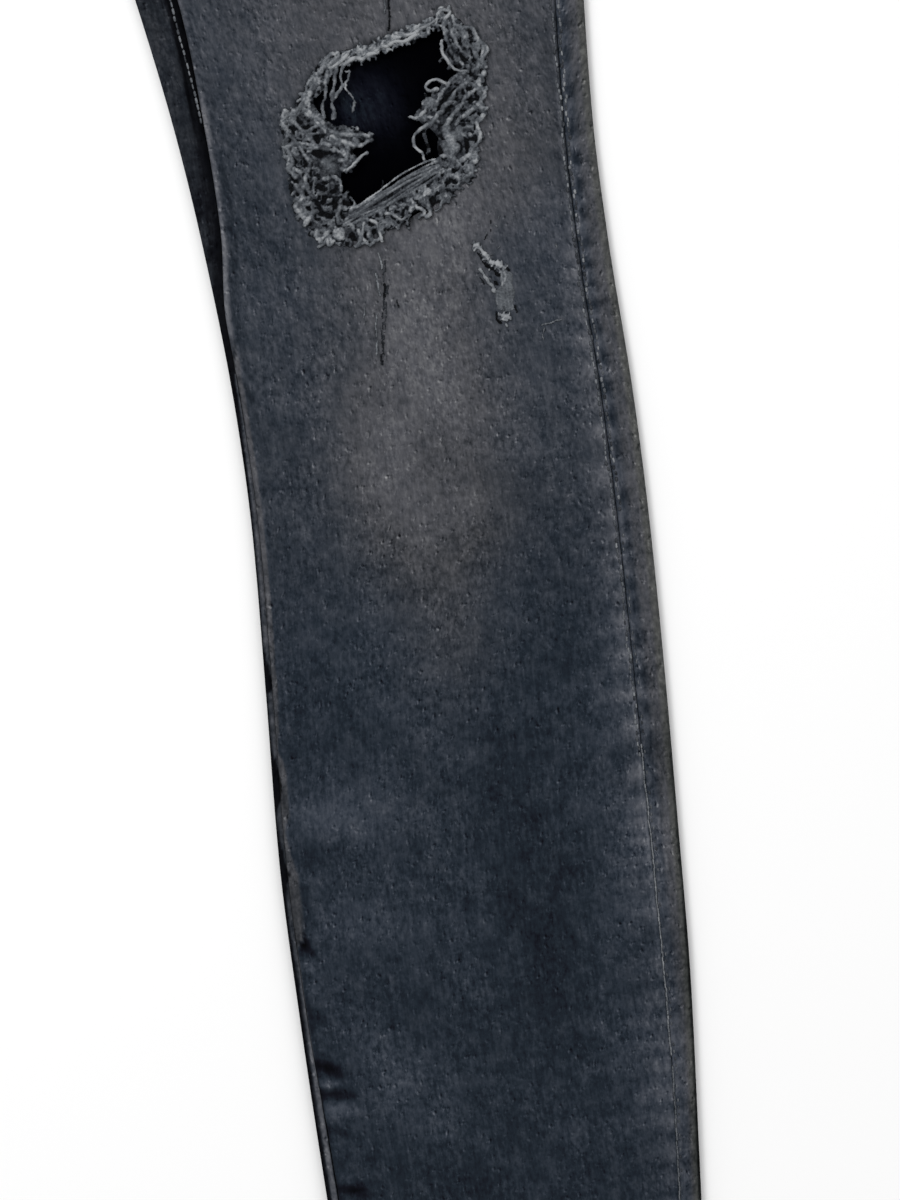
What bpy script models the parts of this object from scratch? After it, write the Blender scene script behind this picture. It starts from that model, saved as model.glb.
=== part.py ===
"""Slim five-panel jeans laid flat, front up, with one ripped knee.

+X is the wearer's left, +Y runs to the waist, +Z is up, and the floor is z = 0. Everything is in metres.
The garment is one flattened form: a back layer on the floor, turned up round both side folds, and a front
layer on it. Each piece of cloth is a sheet of points read from that form, given its thickness by Solidify.
"Down" is the distance below the fork of the legs, and "across" the distance from the inner fold of a leg,
or from the centre line above the fork.
"""

import math
from collections import namedtuple

import bmesh
import bpy
from mathutils import Matrix, Vector

# Cloth
CLOTH = 0.0012
DOUBLE_CLOTH = 0.0024  # waistband and turned hem
SEAM_GAP = 0.0003
HALF_GAP = SEAM_GAP / 2
FOLD_RADIUS = 0.0022  # of the cloth's middle, round a side fold
FOLD_SPREAD = 0.014  # how far from a side fold the front layer stays lifted

# Lengths down from the fork of the legs
HEM_DOWN = 0.761
HEM_HEIGHT = 0.016
CROTCH_DOWN = -0.025  # where the four leg seams meet, on the front layer
FLY_END_DOWN = -0.075
WAIST_SEAM_DOWN = -0.202
BAND_HEIGHT = 0.038
FRONT_DIP = 0.012  # of the waist seam at the centre front
BACK_RISE = 0.022  # of the waist seam at the centre back

# The silhouette of the wearer's left half
Outline = namedtuple("Outline", "down inner outer lean")
OUTLINE = (
    Outline(-0.262, 0.0000, 0.190, 0.0),
    Outline(-0.202, 0.0000, 0.200, 0.0),
    Outline(-0.140, 0.0000, 0.221, 0.0),
    Outline(-0.070, 0.0000, 0.239, 0.0),
    Outline(0.000, 0.0000, 0.247, 0.0),
    Outline(0.040, 0.0165, 0.2485, 0.0),
    Outline(0.113, 0.0414, 0.2524, 0.0),
    Outline(0.169, 0.0583, 0.2566, 0.0),
    Outline(0.226, 0.0729, 0.2637, 0.02),
    Outline(0.301, 0.0884, 0.2754, 0.05),
    Outline(0.357, 0.0964, 0.2825, 0.07),
    Outline(0.432, 0.1029, 0.2900, 0.09),
    Outline(0.508, 0.1090, 0.2966, 0.10),
    Outline(0.583, 0.1189, 0.3027, 0.105),
    Outline(0.658, 0.1302, 0.3064, 0.11),
    Outline(HEM_DOWN, 0.1470, 0.3110, 0.11),
)

# How far inside the folds the two leg seams lie, on the front layer
Seams = namedtuple("Seams", "down inseam outseam")
SEAMS = (
    Seams(CROTCH_DOWN, 0.0, 0.0130),
    Seams(-0.012, 0.0120, 0.0130),
    Seams(0.000, 0.0220, 0.0130),
    Seams(0.113, 0.0200, 0.0135),
    Seams(0.169, 0.0150, 0.0137),
    Seams(0.221, 0.0100, 0.0145),
    Seams(0.264, 0.0036, 0.0150),
    Seams(0.320, 0.0033, 0.0150),
    Seams(0.432, 0.0033, 0.0145),
    Seams(0.508, 0.0033, 0.0135),
    Seams(0.583, 0.0036, 0.0122),
    Seams(0.640, 0.0053, 0.0105),
    Seams(HEM_DOWN, 0.0060, 0.0095),
)

# Height of the back layer's middle, and from it to the front layer's middle
Levels = namedtuple("Levels", "down back lift")
LEVELS = (
    Levels(-0.200, 0.0034, 0.0044),
    Levels(-0.150, 0.0021, 0.0036),
    Levels(0.025, 0.0021, 0.0034),
    Levels(0.070, 0.0006, 0.0028),
)
FORK_LEVEL = 0.025  # the inner folds rise over this length above the fork

# Front pocket opening, a quarter ellipse at the top outer corner of each front
SCOOP_WIDTH = 0.088
SCOOP_DEPTH = 0.068
FACING_SHARE = 1.25  # how far the facing reaches, as a share of the opening
FACING_DROP = CLOTH + SEAM_GAP

# Back yoke seam, below the waist seam
YOKE_CENTRE = 0.070
YOKE_SIDE = 0.036

# Fly and zip
LAP_WIDTH = 0.009
LAP_RISE = CLOTH + SEAM_GAP
LAP_RAMP = 0.0075
ZIP_WIDTH = 0.024
ZIP_THICKNESS = 0.0014

# Waistband ends and button
BAND_LAP = 0.020  # of the wearer's left end, past the centre line
BAND_UNDERLAP = 0.018  # of the right end below it
BAND_RAMP = 0.010
BAND_LAP_RISE = DOUBLE_CLOTH + SEAM_GAP
BUTTON_ACROSS = -0.005
BUTTON_RADIUS = 0.0085
BUTTON_THICKNESS = 0.0022

# Belt loops
LOOP_WIDTH = 0.011
LOOP_CLOTH = 0.0014
LOOP_BOW = 0.0005
LOOP_BELOW_SEAM = 0.007
LOOP_BELOW_EDGE = 0.001

# Back pockets: half widths at the top and at the lower corners, and depths below the top edge
POCKET_CENTRE = Vector((0.110, -0.146))  # across and down, middle of the top edge
POCKET_TOP_HALF = 0.068
POCKET_LOW_HALF = 0.060
POCKET_SIDE = 0.118
POCKET_POINT = 0.145
POCKET_TILT = math.radians(4)

# The ripped knee: reach from its middle of the open hole, of the whole cloth and of the loose threads
KNEE = Vector((0.1603, 0.1716))  # x and down
Rip = namedtuple("Rip", "bearing hole cloth threads")
RIP = (
    Rip(0, 0.0175, 0.031, 0.046),
    Rip(30, 0.0250, 0.038, 0.053),
    Rip(60, 0.0440, 0.050, 0.060),
    Rip(90, 0.0310, 0.037, 0.042),
    Rip(120, 0.0285, 0.034, 0.041),
    Rip(150, 0.0235, 0.035, 0.042),
    Rip(180, 0.0130, 0.034, 0.049),
    Rip(210, 0.0210, 0.041, 0.049),
    Rip(240, 0.0430, 0.049, 0.063),
    Rip(270, 0.0305, 0.047, 0.057),
    Rip(300, 0.0258, 0.040, 0.050),
    Rip(330, 0.0218, 0.034, 0.048),
)
FRAY_THICKNESS = 0.0016
CUTTER_REACH = 0.02

# The fork sits so that the whole length is centred on the origin
HEM_DROP = OUTLINE[-1].lean * (OUTLINE[-1].outer - OUTLINE[-1].inner) / 2
WAIST_TOP_DOWN = WAIST_SEAM_DOWN - BAND_HEIGHT - BACK_RISE
FORK_Y = (HEM_DOWN + HEM_DROP + WAIST_TOP_DOWN) / 2

# Where the sheets have their rows of points, down the leg
LEG_ROWS = (
    -0.012, 0.0, 0.014, 0.035, 0.070, 0.110, 0.150, 0.190, 0.230, 0.262, 0.300,
    0.345, 0.390, 0.440, 0.490, 0.540, 0.590, 0.640, 0.690,
)  # fmt: skip
BACK_TIP_DOWN = CROTCH_DOWN + 0.0008  # just clear of the fronts' corners
SEAT_ROWS = 8
LAST_ROW = HEM_DOWN - HEM_HEIGHT - SEAM_GAP
FOLD_STEPS = 4
FLOOR_STEPS = 5

DENIM = ((0.055, 0.065, 0.085), 0.85, 0.0)
THREADS = ((0.30, 0.31, 0.33), 0.90, 0.0)
METAL = ((0.35, 0.33, 0.30), 0.35, 1.0)


def smooth(value):
    """0 below 0, 1 above 1, and an even S between."""
    value = min(max(value, 0.0), 1.0)
    return value * value * (3 - 2 * value)


def read(table, column, down):
    """A column of a table at any length down, on a monotone cubic through its rows."""
    rows = [(row.down, getattr(row, column)) for row in table]
    if down <= rows[0][0]:
        return rows[0][1]
    if down >= rows[-1][0]:
        return rows[-1][1]
    slopes = [(b[1] - a[1]) / (b[0] - a[0]) for a, b in zip(rows, rows[1:])]
    tangents = [slopes[0]]
    for before, after in zip(slopes, slopes[1:]):
        level = before * after <= 0
        tangents.append(0.0 if level else 2 * before * after / (before + after))
    tangents.append(slopes[-1])
    i = max(k for k in range(len(rows) - 1) if rows[k][0] <= down)
    (start, first), (end, last) = rows[i], rows[i + 1]
    step = end - start
    t = (down - start) / step
    return (
        first * (1 + 2 * t) * (1 - t) ** 2
        + last * t * t * (3 - 2 * t)
        + step * (tangents[i] * t * (1 - t) ** 2 - tangents[i + 1] * t * t * (1 - t))
    )


def width(down):
    return read(OUTLINE, "outer", down) - read(OUTLINE, "inner", down)


def plan(down, across):
    """x and y of a point of the wearer's left half."""
    lean = read(OUTLINE, "lean", down)
    return (
        read(OUTLINE, "inner", down) + across,
        FORK_Y - down + lean * (across - width(down) / 2),
    )


def back_height(down):
    return read(LEVELS, "back", down)


def front_height(down, across):
    """Height of the front layer's middle: lowest in the middle of a leg, and lifted at its folds."""
    lift = read(LEVELS, "lift", down)
    near_outer = 1 - smooth((width(down) - across - FOLD_RADIUS) / FOLD_SPREAD)
    near_inner = 1 - smooth((across - FOLD_RADIUS) / FOLD_SPREAD)
    near_inner *= smooth(1 + down / FORK_LEVEL)
    extra = (2 * FOLD_RADIUS - lift) * max(near_outer, near_inner)
    return back_height(down) + lift + extra


def on_front(down, across, raised=0.0):
    return Vector((*plan(down, across), front_height(down, across) + raised))


def on_back(down, across):
    return Vector((*plan(down, across), back_height(down)))


def on_fold(down, turn, outer, cloth=CLOTH):
    """A point on a side fold: turn is 0 where it leaves the floor layer and 1 on the front layer."""
    angle = math.pi * turn
    inset = cloth / 2 + FOLD_RADIUS * (1 - math.sin(angle))
    across = width(down) - inset if outer else inset
    height = back_height(down) + FOLD_RADIUS * (1 - math.cos(angle))
    return Vector((*plan(down, across), height))


def inseam_across(down):
    return read(SEAMS, "inseam", down)


def outseam_across(down):
    return width(down) - read(SEAMS, "outseam", down)


def front_waist_down(x):
    """The waist seam of the front layer, at a distance from the centre line."""
    return WAIST_SEAM_DOWN + FRONT_DIP * (1 - (x / OUTLINE[1].outer) ** 2)


def back_waist_down(x):
    return WAIST_SEAM_DOWN - BACK_RISE * (1 - (x / OUTLINE[1].outer) ** 2)


def yoke_down(x):
    share = x / OUTLINE[1].outer
    return back_waist_down(x) + YOKE_CENTRE + (YOKE_SIDE - YOKE_CENTRE) * share


# ---------------------------------------------------------------- Blender


def material(name, look):
    colour, roughness, metallic = look
    made = bpy.data.materials.new(name)
    made.use_nodes = True
    shader = made.node_tree.nodes["Principled BSDF"]
    shader.inputs["Base Color"].default_value = (*colour, 1.0)
    shader.inputs["Roughness"].default_value = roughness
    shader.inputs["Metallic"].default_value = metallic
    return made


def add_object(name, mesh, finish, flat=False):
    mesh.materials.append(finish)
    if not flat:
        mesh.shade_smooth()
        mesh.set_sharp_from_angle(angle=math.radians(40))
    made = bpy.data.objects.new(name, mesh)
    bpy.context.scene.collection.objects.link(made)
    return made


def sheet(name, rows, finish, thickness=CLOTH, keep=None, mirrored=False):
    """A sheet through rows of points, as thick as its cloth. keep says which cells of the grid it has."""
    bm = bmesh.new()
    side = -1 if mirrored else 1
    grid = [[bm.verts.new((side * p.x, p.y, p.z)) for p in row] for row in rows]
    for i in range(len(rows) - 1):
        for j in range(len(rows[i]) - 1):
            if keep is None or keep(i, j):
                bm.faces.new((grid[i][j], grid[i][j + 1], grid[i + 1][j + 1], grid[i + 1][j]))
    bmesh.ops.delete(bm, geom=[v for v in bm.verts if not v.link_faces], context="VERTS")
    bmesh.ops.remove_doubles(bm, verts=bm.verts, dist=1e-6)
    if mirrored:
        bmesh.ops.reverse_faces(bm, faces=bm.faces)
    mesh = bpy.data.meshes.new(name)
    bm.to_mesh(mesh)
    bm.free()
    made = add_object(name, mesh, finish)
    solidify = made.modifiers.new("Cloth", "SOLIDIFY")
    solidify.thickness = thickness
    solidify.offset = 0.0
    solidify.use_even_offset = True
    return made


def slab(name, outline, low, high, finish, hole=None):
    """An outline of (x, y) points, extruded upwards, with a hole of as many points if one is given."""
    bm = bmesh.new()
    loops = [outline] if hole is None else [outline, hole]
    rings = [[[bm.verts.new((x, y, z)) for x, y in loop] for loop in loops] for z in (low, high)]
    count = len(outline)
    for k in range(count):
        after = (k + 1) % count
        for n in range(len(loops)):
            (a, b), (c, d) = [(ring[n][k], ring[n][after]) for ring in rings]
            bm.faces.new((a, b, d, c))
        if hole is not None:
            for (outer, inner) in rings:
                bm.faces.new((outer[k], outer[after], inner[after], inner[k]))
    if hole is None:
        for ring in rings:
            bm.faces.new(ring[0])
    bmesh.ops.recalc_face_normals(bm, faces=bm.faces)
    mesh = bpy.data.meshes.new(name)
    bm.to_mesh(mesh)
    bm.free()
    return add_object(name, mesh, finish, flat=True)


# ---------------------------------------------------------------- pieces


def knee_ring(column):
    """The outline of the rip through one column of its table, as (x, y) points."""
    points = []
    for row in RIP:
        angle, reach = math.radians(row.bearing), getattr(row, column)
        points.append((KNEE.x + reach * math.cos(angle), FORK_Y - KNEE.y + reach * math.sin(angle)))
    return points


def scoop_angles():
    return [math.radians(15 * k) for k in range(7)]


def front_columns():
    """Shares of the front's width: even to the pocket opening, then by its angles."""
    waist = outseam_across(WAIST_SEAM_DOWN)
    start = 1 - SCOOP_WIDTH / waist
    lap_ramp = (LAP_RAMP + HALF_GAP) / waist
    inner = [0.0, lap_ramp] + [start * k / 4 for k in (1, 2, 3)]
    return inner + [1 - (1 - start) * math.cos(angle) for angle in scoop_angles()]


def front_top_down(share):
    """The top edge of a front: the waist seam, then the pocket opening."""
    seam = outseam_across(WAIST_SEAM_DOWN)
    into = (share * seam - (seam - SCOOP_WIDTH)) / SCOOP_WIDTH
    if into <= 1e-6:
        return front_waist_down(share * seam) + HALF_GAP
    depth = SCOOP_DEPTH * math.sqrt(max(0.0, 1 - (1 - into) ** 2))
    return front_waist_down(share * seam) + HALF_GAP + depth


def front_rows():
    """Rows of (down, share) with shares across the front, the same number in each."""
    shares = front_columns()
    rows = []
    for step in range(5):
        tops = [front_top_down(share) for share in shares]
        rows.append([(top + (FLY_END_DOWN - top) * step / 4, share) for top, share in zip(tops, shares)])
    for down in (-0.060, -0.042, CROTCH_DOWN, *LEG_ROWS, LAST_ROW):
        rows.append([(down, share) for share in shares])
    return rows


def front_across(down, share):
    """Across the section, from the inner edge of a front to its outer edge."""
    low = inseam_across(down) + HALF_GAP
    high = outseam_across(down) - HALF_GAP
    return low + share * (high - low)


def lap_raise(down, x):
    along = smooth((FLY_END_DOWN + 0.015 - down) / 0.015)
    return LAP_RISE * along * (1 - smooth((x - HALF_GAP) / LAP_RAMP))


def make_front(name, finish, mirrored):
    """One front. The wearer's left one also laps over the other at the fly."""
    rows = []
    for row in front_rows():
        points = [on_front(down, front_across(down, share)) for down, share in row]
        if not mirrored:
            for point, (down, _) in zip(points, row):
                point.z += lap_raise(down, point.x)
            lap = points[0].copy()
            lap.x = -LAP_WIDTH
            points.insert(0, lap)
        rows.append(points)

    def keep(i, j):
        return mirrored or j > 0 or i < 4

    return sheet(name, rows, finish, keep=keep, mirrored=mirrored)


def wrap(down):
    """The back layer's section: front layer at the inseam, inner fold, floor, outer fold, outseam."""
    turns = [k / FOLD_STEPS for k in range(FOLD_STEPS + 1)]
    edge = CLOTH / 2 + FOLD_RADIUS
    if down > 0:
        first = edge
        inner = [on_fold(down, turn, outer=False) for turn in reversed(turns)]
    else:
        first = HALF_GAP + CLOTH * smooth(1 + down / FORK_LEVEL)
        inner = [on_front(down, first)] * FOLD_STEPS + [on_back(down, first)]
    start = on_front(down, max(inseam_across(down) - HALF_GAP, HALF_GAP))
    span = width(down) - edge - first
    floor = [on_back(down, first + span * k / FLOOR_STEPS) for k in range(1, FLOOR_STEPS)]
    outer = [on_fold(down, turn, outer=True) for turn in turns]
    end = on_front(down, outseam_across(down) + HALF_GAP)
    return [start, *inner, *floor, *outer, end]


def seat_point(column, down):
    """A point of wrap() above the fork, counted from the centre back, or from the outseam if negative."""
    return wrap(down)[column if column < 0 else 1 + FOLD_STEPS + column]


def seat_downs(edge):
    """Where a seam that is a function of x crosses each column of the seat, level round the side."""
    floor = [edge(seat_point(j, WAIST_SEAM_DOWN).x) for j in range(FLOOR_STEPS)]
    return floor + [edge(OUTLINE[1].outer)] * (FOLD_STEPS + 2)


def make_back(name, finish, mirrored):
    """One back, from the yoke seam to the hem, with both its edges turned on to the front layer."""
    top = [down + HALF_GAP for down in seat_downs(yoke_down)]
    spare = 1 + FOLD_STEPS
    rows = []
    for step in range(SEAT_ROWS):
        downs = [down + (BACK_TIP_DOWN - down) * step / SEAT_ROWS for down in top]
        seat = [seat_point(j, down) for j, down in enumerate(downs)]
        rows.append([seat[0]] * spare + seat)
    leg = [wrap(down) for down in (BACK_TIP_DOWN, *LEG_ROWS, LAST_ROW)]
    seat_rows, fork = len(rows), len(rows) + 2
    rows += leg

    def keep(i, j):
        if i < seat_rows:
            return j >= spare
        if i < fork:
            return j == 0 or j >= spare
        return True

    return sheet(name, rows, finish, keep=keep, mirrored=mirrored)


def make_yoke(name, finish, mirrored):
    """One yoke, between the waist seam and the yoke seam, turned round the side to the outseam."""
    top = [down + HALF_GAP for down in seat_downs(back_waist_down)]
    top[-1] = front_waist_down(seat_point(-1, WAIST_SEAM_DOWN).x) + HALF_GAP
    bottom = [down - HALF_GAP for down in seat_downs(yoke_down)]
    rows = []
    for step in range(4):
        downs = [a + (b - a) * step / 3 for a, b in zip(top, bottom)]
        rows.append([seat_point(j, down) for j, down in enumerate(downs)])
    return sheet(name, rows, finish, mirrored=mirrored)


def make_facing(name, finish, mirrored):
    """The hip facing that closes a front pocket's opening, one layer below the front."""
    seam = outseam_across(WAIST_SEAM_DOWN)
    rows = []
    for share in (0.0, 0.35, 0.7, 1.0, FACING_SHARE):
        row = []
        for angle in scoop_angles():
            x = seam - SCOOP_WIDTH * share * math.cos(angle)
            down = front_waist_down(x) + SEAM_GAP + SCOOP_DEPTH * share * math.sin(angle)
            across = outseam_across(down) - HALF_GAP - SCOOP_WIDTH * share * math.cos(angle)
            row.append(on_front(down, across, raised=-FACING_DROP))
        rows.append(row)
    return sheet(name, rows, finish, mirrored=mirrored)


def band_point(x, down, layer, raised=0.0):
    """A point of the waistband: x is its place on the seam edge, and down how high it is."""
    narrowing = read(OUTLINE, "outer", min(down, WAIST_SEAM_DOWN)) / OUTLINE[1].outer
    place = x * narrowing
    z = back_height(down) + (read(LEVELS, "lift", down) if layer == "front" else 0.0)
    return Vector((place, FORK_Y - down, z + raised))


def make_band(name, finish, mirrored):
    """Half the waistband, from the centre front round the side to the centre back."""
    front = [(-BAND_UNDERLAP, 0.0), (0.030, 0.0)]
    if not mirrored:
        ramp = BAND_UNDERLAP + 2 * SEAM_GAP
        front = [(-BAND_LAP, BAND_LAP_RISE), (0.0, BAND_LAP_RISE), (ramp, BAND_LAP_RISE)]
        front.append((ramp + BAND_RAMP, 0.0))
    front += [(x, 0.0) for x in (0.060, 0.093, 0.125, 0.156, outseam_across(WAIST_SEAM_DOWN))]
    turns = [k / FOLD_STEPS for k in range(FOLD_STEPS + 1)]
    rows = []
    for step in range(3):
        height = HALF_GAP + BAND_HEIGHT * step / 2
        row = [band_point(x, front_waist_down(x) - height, "front", rise) for x, rise in front]
        side = WAIST_SEAM_DOWN - height
        row += [on_fold(side, turn, outer=True, cloth=DOUBLE_CLOTH) for turn in reversed(turns)]
        for x in [seat_point(j, WAIST_SEAM_DOWN).x for j in reversed(range(FLOOR_STEPS))]:
            row.append(band_point(x, back_waist_down(x) - height, "back"))
        rows.append(row)
    return sheet(name, rows, finish, thickness=DOUBLE_CLOTH, mirrored=mirrored)


def make_hem(name, finish, mirrored):
    """The turned hem, a flattened ring at the end of a leg."""
    rise = (DOUBLE_CLOTH - CLOTH) / 2
    turns = [k / FOLD_STEPS for k in range(FOLD_STEPS + 1)]
    edge = DOUBLE_CLOTH / 2 + FOLD_RADIUS
    rows = []
    for down in (HEM_DOWN - HEM_HEIGHT, HEM_DOWN):
        inside = width(down) - 2 * edge
        across = [edge + inside * k / FLOOR_STEPS for k in range(1, FLOOR_STEPS)]
        ring = [on_back(down, a) for a in across]
        ring += [on_fold(down, turn, outer=True, cloth=DOUBLE_CLOTH) for turn in turns]
        ring += [on_front(down, a) for a in reversed(across)]
        ring += [on_fold(down, turn, outer=False, cloth=DOUBLE_CLOTH) for turn in reversed(turns)]
        for point in ring:
            point.z += rise
        rows.append([*ring, ring[0]])
    return sheet(name, rows, finish, thickness=DOUBLE_CLOTH, mirrored=mirrored)


def make_loop(name, finish, x, layer, lift=0.0):
    """A belt loop, sewn down at both ends and bowed a little between them."""
    waist = front_waist_down(abs(x)) if layer == "front" else back_waist_down(abs(x))
    away = 1 if layer == "front" else -1
    clear = DOUBLE_CLOTH / 2 + SEAM_GAP + LOOP_CLOTH / 2
    first, last = LOOP_BELOW_SEAM, LOOP_BELOW_EDGE - BAND_HEIGHT
    rows = []
    for step in range(5):
        down = waist + first + (last - first) * step / 4
        bow = LOOP_BOW * math.sin(math.pi * step / 4)
        level = band_point(abs(x), min(down, WAIST_SEAM_DOWN), layer).z
        rows.append([
            Vector((x + side * LOOP_WIDTH / 2, FORK_Y - down, level + away * (clear + bow)))
            for side in (-1, 1)
        ])  # fmt: skip
    return sheet(name, rows, finish, thickness=LOOP_CLOTH)


def make_zip(name, finish):
    """The closed zip under the fly, a layer below the fronts."""
    drop = CLOTH / 2 + SEAM_GAP + ZIP_THICKNESS / 2
    rows = []
    for step in range(6):
        down = front_waist_down(0.0) + SEAM_GAP
        down += (FLY_END_DOWN - down) * step / 5
        z = front_height(down, HALF_GAP) - drop
        rows.append([Vector((side * ZIP_WIDTH / 2, FORK_Y - down, z)) for side in (-1, 0, 1)])
    return sheet(name, rows, finish, thickness=ZIP_THICKNESS)


def make_back_pocket(name, finish, mirrored):
    """A patch pocket under the back layer, on the floor: five corners, point down."""
    corners = (
        (-POCKET_TOP_HALF, 0.0),
        (-POCKET_LOW_HALF, -POCKET_SIDE),
        (0.0, -POCKET_POINT),
        (POCKET_LOW_HALF, -POCKET_SIDE),
        (POCKET_TOP_HALF, 0.0),
    )
    side = -1 if mirrored else 1
    outline = []
    for x, y in corners:
        turned = Matrix.Rotation(POCKET_TILT, 2) @ Vector((x, y))
        outline.append((side * (POCKET_CENTRE.x + turned.x), FORK_Y - POCKET_CENTRE.y + turned.y))
    return slab(name, outline, 0.0, CLOTH, finish)


def make_button(finish):
    """The waist button, a low disc with a raised rim, on the lapped end of the band."""
    down = front_waist_down(0.0) - SEAM_GAP - BAND_HEIGHT / 2
    base = band_point(0.0, down, "front").z + BAND_LAP_RISE + DOUBLE_CLOTH / 2 + SEAM_GAP
    bm = bmesh.new()
    bmesh.ops.create_cone(
        bm, cap_ends=True, segments=32, radius1=BUTTON_RADIUS, radius2=BUTTON_RADIUS, depth=BUTTON_THICKNESS
    )
    top = max(bm.faces, key=lambda face: face.calc_center_median().z)
    bmesh.ops.inset_individual(bm, faces=[top], thickness=0.0016, depth=-0.0005)
    mesh = bpy.data.meshes.new("button")
    bm.to_mesh(mesh)
    bm.free()
    made = add_object("button", mesh, finish)
    made.location = (BUTTON_ACROSS, FORK_Y - down, base + BUTTON_THICKNESS / 2)
    return made


def rip_knee(front, finish):
    """Cuts the hole in the left front, and lays the ring of loose threads round it."""
    level = front_height(KNEE.y, width(KNEE.y) / 2)
    cutter = slab("knee_cutter", knee_ring("cloth"), level - CUTTER_REACH, level + CUTTER_REACH, finish)
    cutter.hide_render = True
    cutter.display_type = "WIRE"
    cut = front.modifiers.new("Rip", "BOOLEAN")
    cut.operation = "DIFFERENCE"
    cut.solver = "EXACT"
    cut.object = cutter
    low = level + CLOTH / 2 + SEAM_GAP
    slab("knee_threads", knee_ring("threads"), low, low + FRAY_THICKNESS, finish, hole=knee_ring("hole"))


def main():
    for old in list(bpy.data.objects):
        bpy.data.objects.remove(old)
    denim = material("denim", DENIM)
    threads = material("threads", THREADS)
    metal = material("metal", METAL)
    for side, mirrored in (("left", False), ("right", True)):
        front = make_front(f"front_{side}", denim, mirrored)
        if side == "left":
            rip_knee(front, threads)
        make_back(f"back_{side}", denim, mirrored)
        make_yoke(f"yoke_{side}", denim, mirrored)
        make_facing(f"pocket_facing_{side}", denim, mirrored)
        make_band(f"waistband_{side}", denim, mirrored)
        make_hem(f"hem_{side}", denim, mirrored)
        make_back_pocket(f"back_pocket_{side}", denim, mirrored)
    for name, x, layer in (
        ("loop_front_left", 0.098, "front"),
        ("loop_front_right", -0.098, "front"),
        ("loop_back_left", 0.125, "back"),
        ("loop_back_right", -0.125, "back"),
        ("loop_back_centre", 0.0, "back"),
    ):
        make_loop(name, denim, x, layer)
    make_zip("zip", metal)
    make_button(metal)


main()
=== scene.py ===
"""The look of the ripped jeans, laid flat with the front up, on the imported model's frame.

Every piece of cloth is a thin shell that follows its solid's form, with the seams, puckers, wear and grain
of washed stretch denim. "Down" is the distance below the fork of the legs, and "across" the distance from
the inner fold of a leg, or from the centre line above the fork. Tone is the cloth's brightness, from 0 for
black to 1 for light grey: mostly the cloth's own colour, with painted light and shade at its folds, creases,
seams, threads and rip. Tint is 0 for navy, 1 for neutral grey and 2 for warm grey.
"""

import math
from collections import namedtuple

import bmesh
import bpy
import numpy as np
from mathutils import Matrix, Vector

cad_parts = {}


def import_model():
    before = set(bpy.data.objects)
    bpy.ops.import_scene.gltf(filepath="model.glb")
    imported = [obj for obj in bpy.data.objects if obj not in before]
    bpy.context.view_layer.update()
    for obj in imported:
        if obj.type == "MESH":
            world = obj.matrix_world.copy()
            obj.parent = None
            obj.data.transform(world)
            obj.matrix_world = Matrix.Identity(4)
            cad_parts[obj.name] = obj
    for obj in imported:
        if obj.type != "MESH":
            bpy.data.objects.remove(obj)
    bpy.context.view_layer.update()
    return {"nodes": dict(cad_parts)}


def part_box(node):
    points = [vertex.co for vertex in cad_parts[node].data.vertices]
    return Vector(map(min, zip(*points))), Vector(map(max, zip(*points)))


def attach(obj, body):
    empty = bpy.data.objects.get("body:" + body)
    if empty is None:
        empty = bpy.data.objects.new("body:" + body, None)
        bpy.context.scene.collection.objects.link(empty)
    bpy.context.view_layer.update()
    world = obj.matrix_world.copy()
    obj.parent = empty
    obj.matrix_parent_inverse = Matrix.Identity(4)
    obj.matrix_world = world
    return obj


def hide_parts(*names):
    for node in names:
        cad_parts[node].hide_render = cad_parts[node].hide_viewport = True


MM = 0.001
Outline = namedtuple("Outline", "down inner outer lean")
Seams = namedtuple("Seams", "down inseam outseam")
Levels = namedtuple("Levels", "down back lift")
Fade = namedtuple("Fade", "down side middle place reach seam grey")
Fold = namedtuple("Fold", "down across to_down to_across reach tone rise")
Ridge = namedtuple("Ridge", "down dark light tone")
Strand = namedtuple("Strand", "tone radius height path")
Tangle = namedtuple("Tangle", "u v half_u half_v heading either length curl count tone")
Fringe = namedtuple("Fringe", "tone reach count length path")
Lump = namedtuple("Lump", "u v to_u to_v radius tone")
Gap = namedtuple("Gap", "u v to_u to_v radius")
Stroke = namedtuple("Stroke", "path radius height tone")
# A kind of stitch: pitch, length, how deep its ends go, the share that is missing, how far it strays, tone,
# thickness as a share of new thread's, and how uneven wear has made it
Stitch = namedtuple(
    "Stitch",
    "pitch length sink skip stray tone thick worn",
    defaults=(0.0033, 0.0024, 0.00015, 0.0, 0.00008, 1.15, 1.0, 0.12),
)


def table(kind, *rows):
    """Rows of one kind."""
    return tuple(kind(*row) for row in rows)


def strands(*rows):
    """Threads from rows of tone, half width, height and the points that each goes through."""
    return tuple(Strand(tone, radius, height, path) for tone, radius, height, *path in rows)


# ---------------------------------------------------------------- the form, as the solids have it

CLOTH = 0.0012
DOUBLE_CLOTH = 0.0024
HALF_GAP = 0.00015
FOLD_RADIUS = 0.0022
FOLD_SPREAD = 0.014

HEM_DOWN = 0.761
HEM_HEIGHT = 0.016
CROTCH_DOWN = -0.025
FLY_END_DOWN = -0.075
WAIST_SEAM_DOWN = -0.202
BAND_HEIGHT = 0.038
FRONT_DIP = 0.012
BACK_RISE = 0.022
FORK_LEVEL = 0.025

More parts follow.
